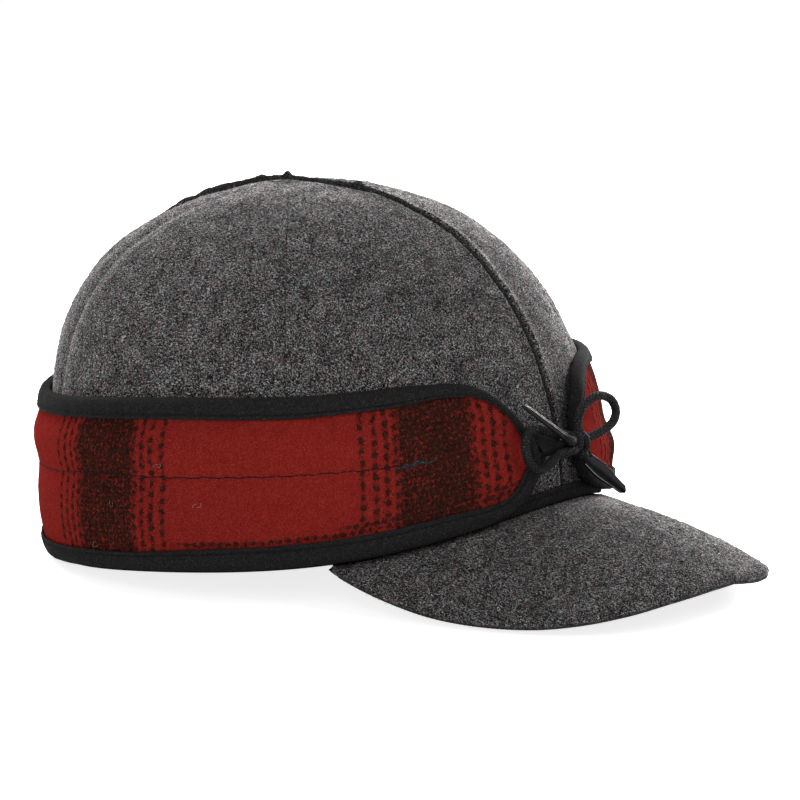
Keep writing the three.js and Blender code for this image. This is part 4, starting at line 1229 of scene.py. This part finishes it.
def plaid_dark(tree):
    """Where the earband's wool is dark: stripes, dot columns at their sides, and the edge rows."""
    dot_column = dot_group()
    place = object_place(tree)
    way, up = map_parts(tree, "cloth")
    drift = (noise(place, 460) - 0.5) * 0.0019
    way, up = way + drift, up + drift
    from_first = way - (STRIPE_FIRST - STRIPE_PITCH / 2)
    within = maths("FLOORED_MODULO", from_first, STRIPE_PITCH) - STRIPE_PITCH / 2
    middle = maths("ABSOLUTE", within)
    fuzz = (noise(place, 1150, 3.0, 0.75) - 0.48) * 7.5 + (noise(place, 310, 1.0) - 0.5) * 3.0

    def dots(across, along, at, phase, width, pitch):
        return use_group(
            tree, dot_column, Across=across, Along=along, Place=at, Phase=phase, Width=width, Pitch=pitch,
            Ragged=fuzz,
        )["Dark"]

    marks = [dots(middle, up, at, phase, DOT_WIDTH * size, DOT_PITCH) for at, phase, size in DOT_COLUMNS]
    for row, (height, end) in enumerate(EDGE_ROW_HEIGHTS):
        line = dots(up, way, height, row * 0.5, DOT_WIDTH * 0.9, DOT_PITCH * 0.8)
        marks.append(line * maths("MULTIPLY", end - way, 150, clamp=True))
    dark = marks[0]
    for mark in marks[1:]:
        dark = maths("MAXIMUM", dark, mark)
    slant, cross = ((diagonal / SPECK_PITCH) * (2 * math.pi) for diagonal in (within + up, within - up))
    specks = noise(place, 900, 3.0, 0.7)
    red = (specks - 0.52) * 8.0 + maths("COSINE", slant) * maths("COSINE", cross) * 0.6
    red = red + (noise(place, 75, 1.0) - 0.5) * 0.9
    field = maths("SUBTRACT", 1.0, maths("MULTIPLY", red, 0.58, clamp=True), clamp=True)
    edge = maths("DIVIDE", STRIPE_DENSE - (middle + (specks - 0.5) * 0.006), 0.0016, clamp=True)
    return maths("MAXIMUM", dark * 0.92, field * edge)


plaid_material, plaid_tree, plaid_shader = new_material("buffalo_plaid_wool", 0.95, 0.04)
plaid_nap = use_group(plaid_tree, wool_nap, Fineness=1.25)
plaid_tone = plaid_nap["Fleck"] + (plaid_nap["Clump"] - 0.5) * 0.08
plaid_red = ramp(
    plaid_tone, [(0.4, (0.125, 0.009, 0.0075)), (0.5, (0.19, 0.0145, 0.0115)), (0.62, (0.28, 0.028, 0.022))]
)
plaid_black = ramp(
    plaid_tone, [(0.4, (0.011, 0.0038, 0.0027)), (0.52, (0.026, 0.0095, 0.0065)), (0.64, (0.06, 0.024, 0.017))]
)
plaid_inputs = {"Factor": plaid_dark(plaid_tree), 6: plaid_red, 7: plaid_black}
feed(new_node(plaid_tree, "ShaderNodeMix", 2, plaid_inputs, data_type="RGBA"), plaid_shader["Base Color"])
bump(plaid_nap["Height"], plaid_shader, 0.00035, 0.8)
feed(1.1, plaid_shader["IOR"])
earband = shell_piece(
    "plaid_earband", band_face, band_inner, plaid_material, "wool_plaid", ["earband"],
    {"cloth": np.concatenate([band_map, band_map])},
)

# The stitches along the earband's middle: short runs of dark thread sunk in the cloth, and a
# thicker double thread where they were fastened off.
STITCH_LENGTH = 3.0
STITCH_GAP = -0.35
STITCH_RADIUS = 0.22
STITCH_TO = 325.0
FASTENING = ((34.8, 0.3), (36.4, -0.1), (38, 0.5), (39.6, -0.3), (41, 0.1), (42.4, -0.6))


def thread_stitch(start, end, height_of, lift, radius):
    """Points of one stitch: it dips into the cloth at both ends."""
    angle = np.linspace(start, end, 7)
    arch = lift * np.sin(np.linspace(0, np.pi, 7)) - radius * 0.6
    line = stand_out(angle, band_surface(angle, height_of(angle)), arch)
    return tube_points(line, radius, sides=6)


stitches = []
stitch_angle = STITCH_FROM
while stitch_angle < STITCH_TO:
    per_degree = float(degree_length(np.array(stitch_angle))) * 1.05
    stitch_end = stitch_angle + STITCH_LENGTH / per_degree
    stitches.append(thread_stitch(stitch_angle, stitch_end, stitch_height, 0.3, STITCH_RADIUS))
    stitch_angle = stitch_end + STITCH_GAP / per_degree
fastening_angles, fastening_lifts = zip(*FASTENING)
fastening = []
for shift, first, last in ((-0.45, 37.5, 41.5), (-0.1, 35.5, 41.8), (0.3, 34.5, 40.8), (0.6, 37, 39.6)):
    for start in np.arange(first, last, 1.3):
        fastening.append(thread_stitch(
            start, start + 1.5,
            lambda a: stitch_height(a) + np.interp(a, fastening_angles, fastening_lifts) + shift, 0.4, 0.24,
        ))
sewing_material = grained("sewing_thread", 0.8, 0.12, (2400,), [(0.35, 0.002), (0.7, 0.012)])
make_threads("earband_stitches", stitches, sewing_material)
make_threads("fastening_thread", fastening, thread_material)

# The earband's binding: black bias tape folded over the whole edge of the plaid and stitched
# close to its inner side, a little puckered where it turns round the two ends.
TAPE_GAP = 0.45
TAPE_WALL = 0.8
TAPE_NARROW = ((8, 0.6), (12, 0.48), (17, 0.38), (30, 0.58), (44, 0.88), (66, 1.0))
TAPE_BROAD = ((20, 1.0), (34, 1.24), (72, 1.24), (100, 1.0), (110, 1.0))
TAPE_OUT = BAND_WALL + TAPE_GAP + TAPE_WALL
TAPE_PROFILE = (
    (6.4, TAPE_OUT - 0.75), (6.62, TAPE_OUT - 0.35), (6.3, TAPE_OUT - 0.02), (5.6, TAPE_OUT + 0.05),
    (5.1, TAPE_OUT - 0.16), (4.6, TAPE_OUT + 0.1), (2.8, TAPE_OUT + 0.22), (1.2, TAPE_OUT + 0.05),
    (0.35, TAPE_OUT - 0.45), (0, 1.3), (0, 0.2), (0.35, -0.75), (1.2, -1.2), (4.6, -1.25),
    (6.3, -1.2), (6.6, -0.85), (6.4, -0.5), (3.5, -0.45), (0.9, -0.4), (0.8, 0.8), (0.9, BAND_WALL + 0.42),
    (3.5, BAND_WALL + 0.45),
)


def tape_share(outline):
    """How wide the tape is along the outline, as a share of its full width."""
    level = 180 - np.abs(180 - np.mod(outline[:, 0], 360))
    upper, lower = (eased(level, *zip(*table)) for table in (TAPE_NARROW, TAPE_BROAD))
    part = smooth_step(np.clip((outline[:, 1] - 12) / 14, 0, 1))
    return lower * (1 - part) + upper * part


def tape_pucker(points):
    return 0.16 * waver(points, 4.2, 51) + 0.1 * waver(points, 9, 52)


tape_wide = tape_share(band_outline)[:, None]
tape_rings = []
for inward, offset in TAPE_PROFILE:
    angle, height = inset_outline(band_outline, inward * tape_wide).T
    points = band_point(angle, height, offset)
    tape_rings.append(stand_out(angle, points, tape_pucker(points) * np.clip((offset - 1) / 1.5, 0, 1)))
tape_points = np.stack(tape_rings, axis=1)
tape_points[..., 2] = np.maximum(tape_points[..., 2], 0.15)
tape_faces = tube_faces(band_count, len(TAPE_PROFILE), closed=True)
make_piece("earband_tape", tape_points, tape_faces, tape_material, "binding_black", ["earband_binding"])


def sewn_line(points, out, lift=0.22, length=2.3, gap=0.5, radius=0.17):
    """Separate stitches along a closed line of points with the directions out of the cloth."""
    way = way_along(points)
    made = []
    for start in np.arange(0, way[-1] - length, length + gap):
        at, facing = (at_ways(np.linspace(start, start + length, 5), way, line) for line in (points, out))
        arch = (lift * np.sin(np.linspace(0, np.pi, 5)) - 0.4 * radius)[:, None]
        made.append(tube_points(at + facing * arch, radius, sides=5))
    return made


seam_angle, seam_height = inset_outline(band_outline, 5.1 * tape_wide).T
seam_line = band_point(seam_angle, seam_height, TAPE_OUT - 0.02)
seam_line = stand_out(seam_angle, seam_line, tape_pucker(seam_line) * 0.7)
tape_stitches = sewn_line(seam_line, outward(np.radians(seam_angle)))
rim_seam = wall_point(rim_angle[:, 0], 3.9, 1.12)
rim_out = outward(rim_angle[:, 0])
tape_stitches += sewn_line(rim_seam + rim_out * (0.12 * waver(rim_seam, 4.5, 21))[:, None], rim_out)
make_threads("binding_stitches", tape_stitches, sewing_material)

# The channel's mouth at the earband's right end: the binding is gathered toward the knot there,
# over the lace that comes out of it.
MOUTH_LEVELS = (4.3, 7.1, 10.1, 12.0)
MOUTH_LEAD_OFFSETS = (7.24, 5.46, 4.09, 3.4)
MOUTH_HEIGHT = 21.1
MOUTH_HALF = ((0, 8.2), (0.35, 6.6), (0.75, 3.6), (1, 2.6))
MOUTH_END = 5.4
MOUTH_WALL = 0.7
MOUTH_ROWS = 26
MOUTH_COLUMNS = 40


def mouth_faces():
    """Outer and inner face of the channel's mouth, from the earband's end to near the knot."""
    way = np.linspace(0, 1, MOUTH_ROWS)[:, None]
    across = np.linspace(-1, 1, MOUTH_COLUMNS)[None]
    half = eased(way, *zip(*MOUTH_HALF))
    height = MOUTH_HEIGHT + across * half
    end = np.array(BAND_RIGHT_END)
    edge = np.interp(height, end[:, 1], end[:, 0]) - 0.4
    angle = edge + (MOUTH_END - edge) * way
    lead = np.interp(angle, MOUTH_LEVELS, MOUTH_LEAD_OFFSETS)
    low = 1.3 + 1.6 * (1 - way) ** 2
    over = np.clip(1 - (np.abs(across * half) / 3.3) ** 2, 0, 1) ** 0.6
    inner = low + (lead + 1.9 - low) * over
    pleat = 0.22 * np.cos(across * 9 + 2 * way) * (1 - over)
    outer = wall_point(np.radians(angle), height, inner + MOUTH_WALL + pleat + 0.1)
    return outer, wall_point(np.radians(angle), height, inner)


shell_piece("lace_channel_mouth", *mouth_faces(), tape_material, "binding_black")

# Loose bits that cling to the wool: a few pale curls on the earband and one dark thread end
# on the crown near its top.
LINT_PLACES = ((169, 23.5), (88.5, 37), (80.5, 24), (105.5, 9.6), (99.5, 23), (249, 30), (300, 20), (200, 14))
STRAY_THREAD = ((41.5, 0.81), (41.3, 0.79), (39.5, 0.777), (36.5, 0.783), (33.5, 0.8))
lint_random = np.random.default_rng(17)
curls = []
for lint_angle, lint_height in LINT_PLACES:
    for _ in range(2):
        t = np.linspace(0, 1, 9)
        bend, reach = lint_random.uniform(-3.4, 3.4), lint_random.uniform(1.8, 3.6)
        aim = lint_random.uniform(0, 2 * np.pi) + bend * t
        sideways = np.cumsum(np.cos(aim)) * reach / 9 + lint_random.normal(0, 0.4)
        upward = np.cumsum(np.sin(aim)) * reach / 9 + lint_random.normal(0, 0.4)
        angle = lint_angle + sideways / float(degree_length(np.array(float(lint_angle))))
        curls.append(tube_points(band_surface(angle, lint_height + upward, 0.22), 0.05, sides=4))
lint_material = grained("pale_lint", 0.9, 0.5, (900,), [(0.3, 0.08), (0.7, 0.32)])
make_threads("lint_curls", curls, lint_material, "wool_grey")
stray_line = smooth_line([meridian_point(math.radians(a), share) for a, share in STRAY_THREAD], step=0.6)
stray_line += np.array([-0.25, -0.2, 1.0]) * 0.65
make_tube("stray_thread", stray_line, 0.13, thread_material, "seam_thread", sides=6)
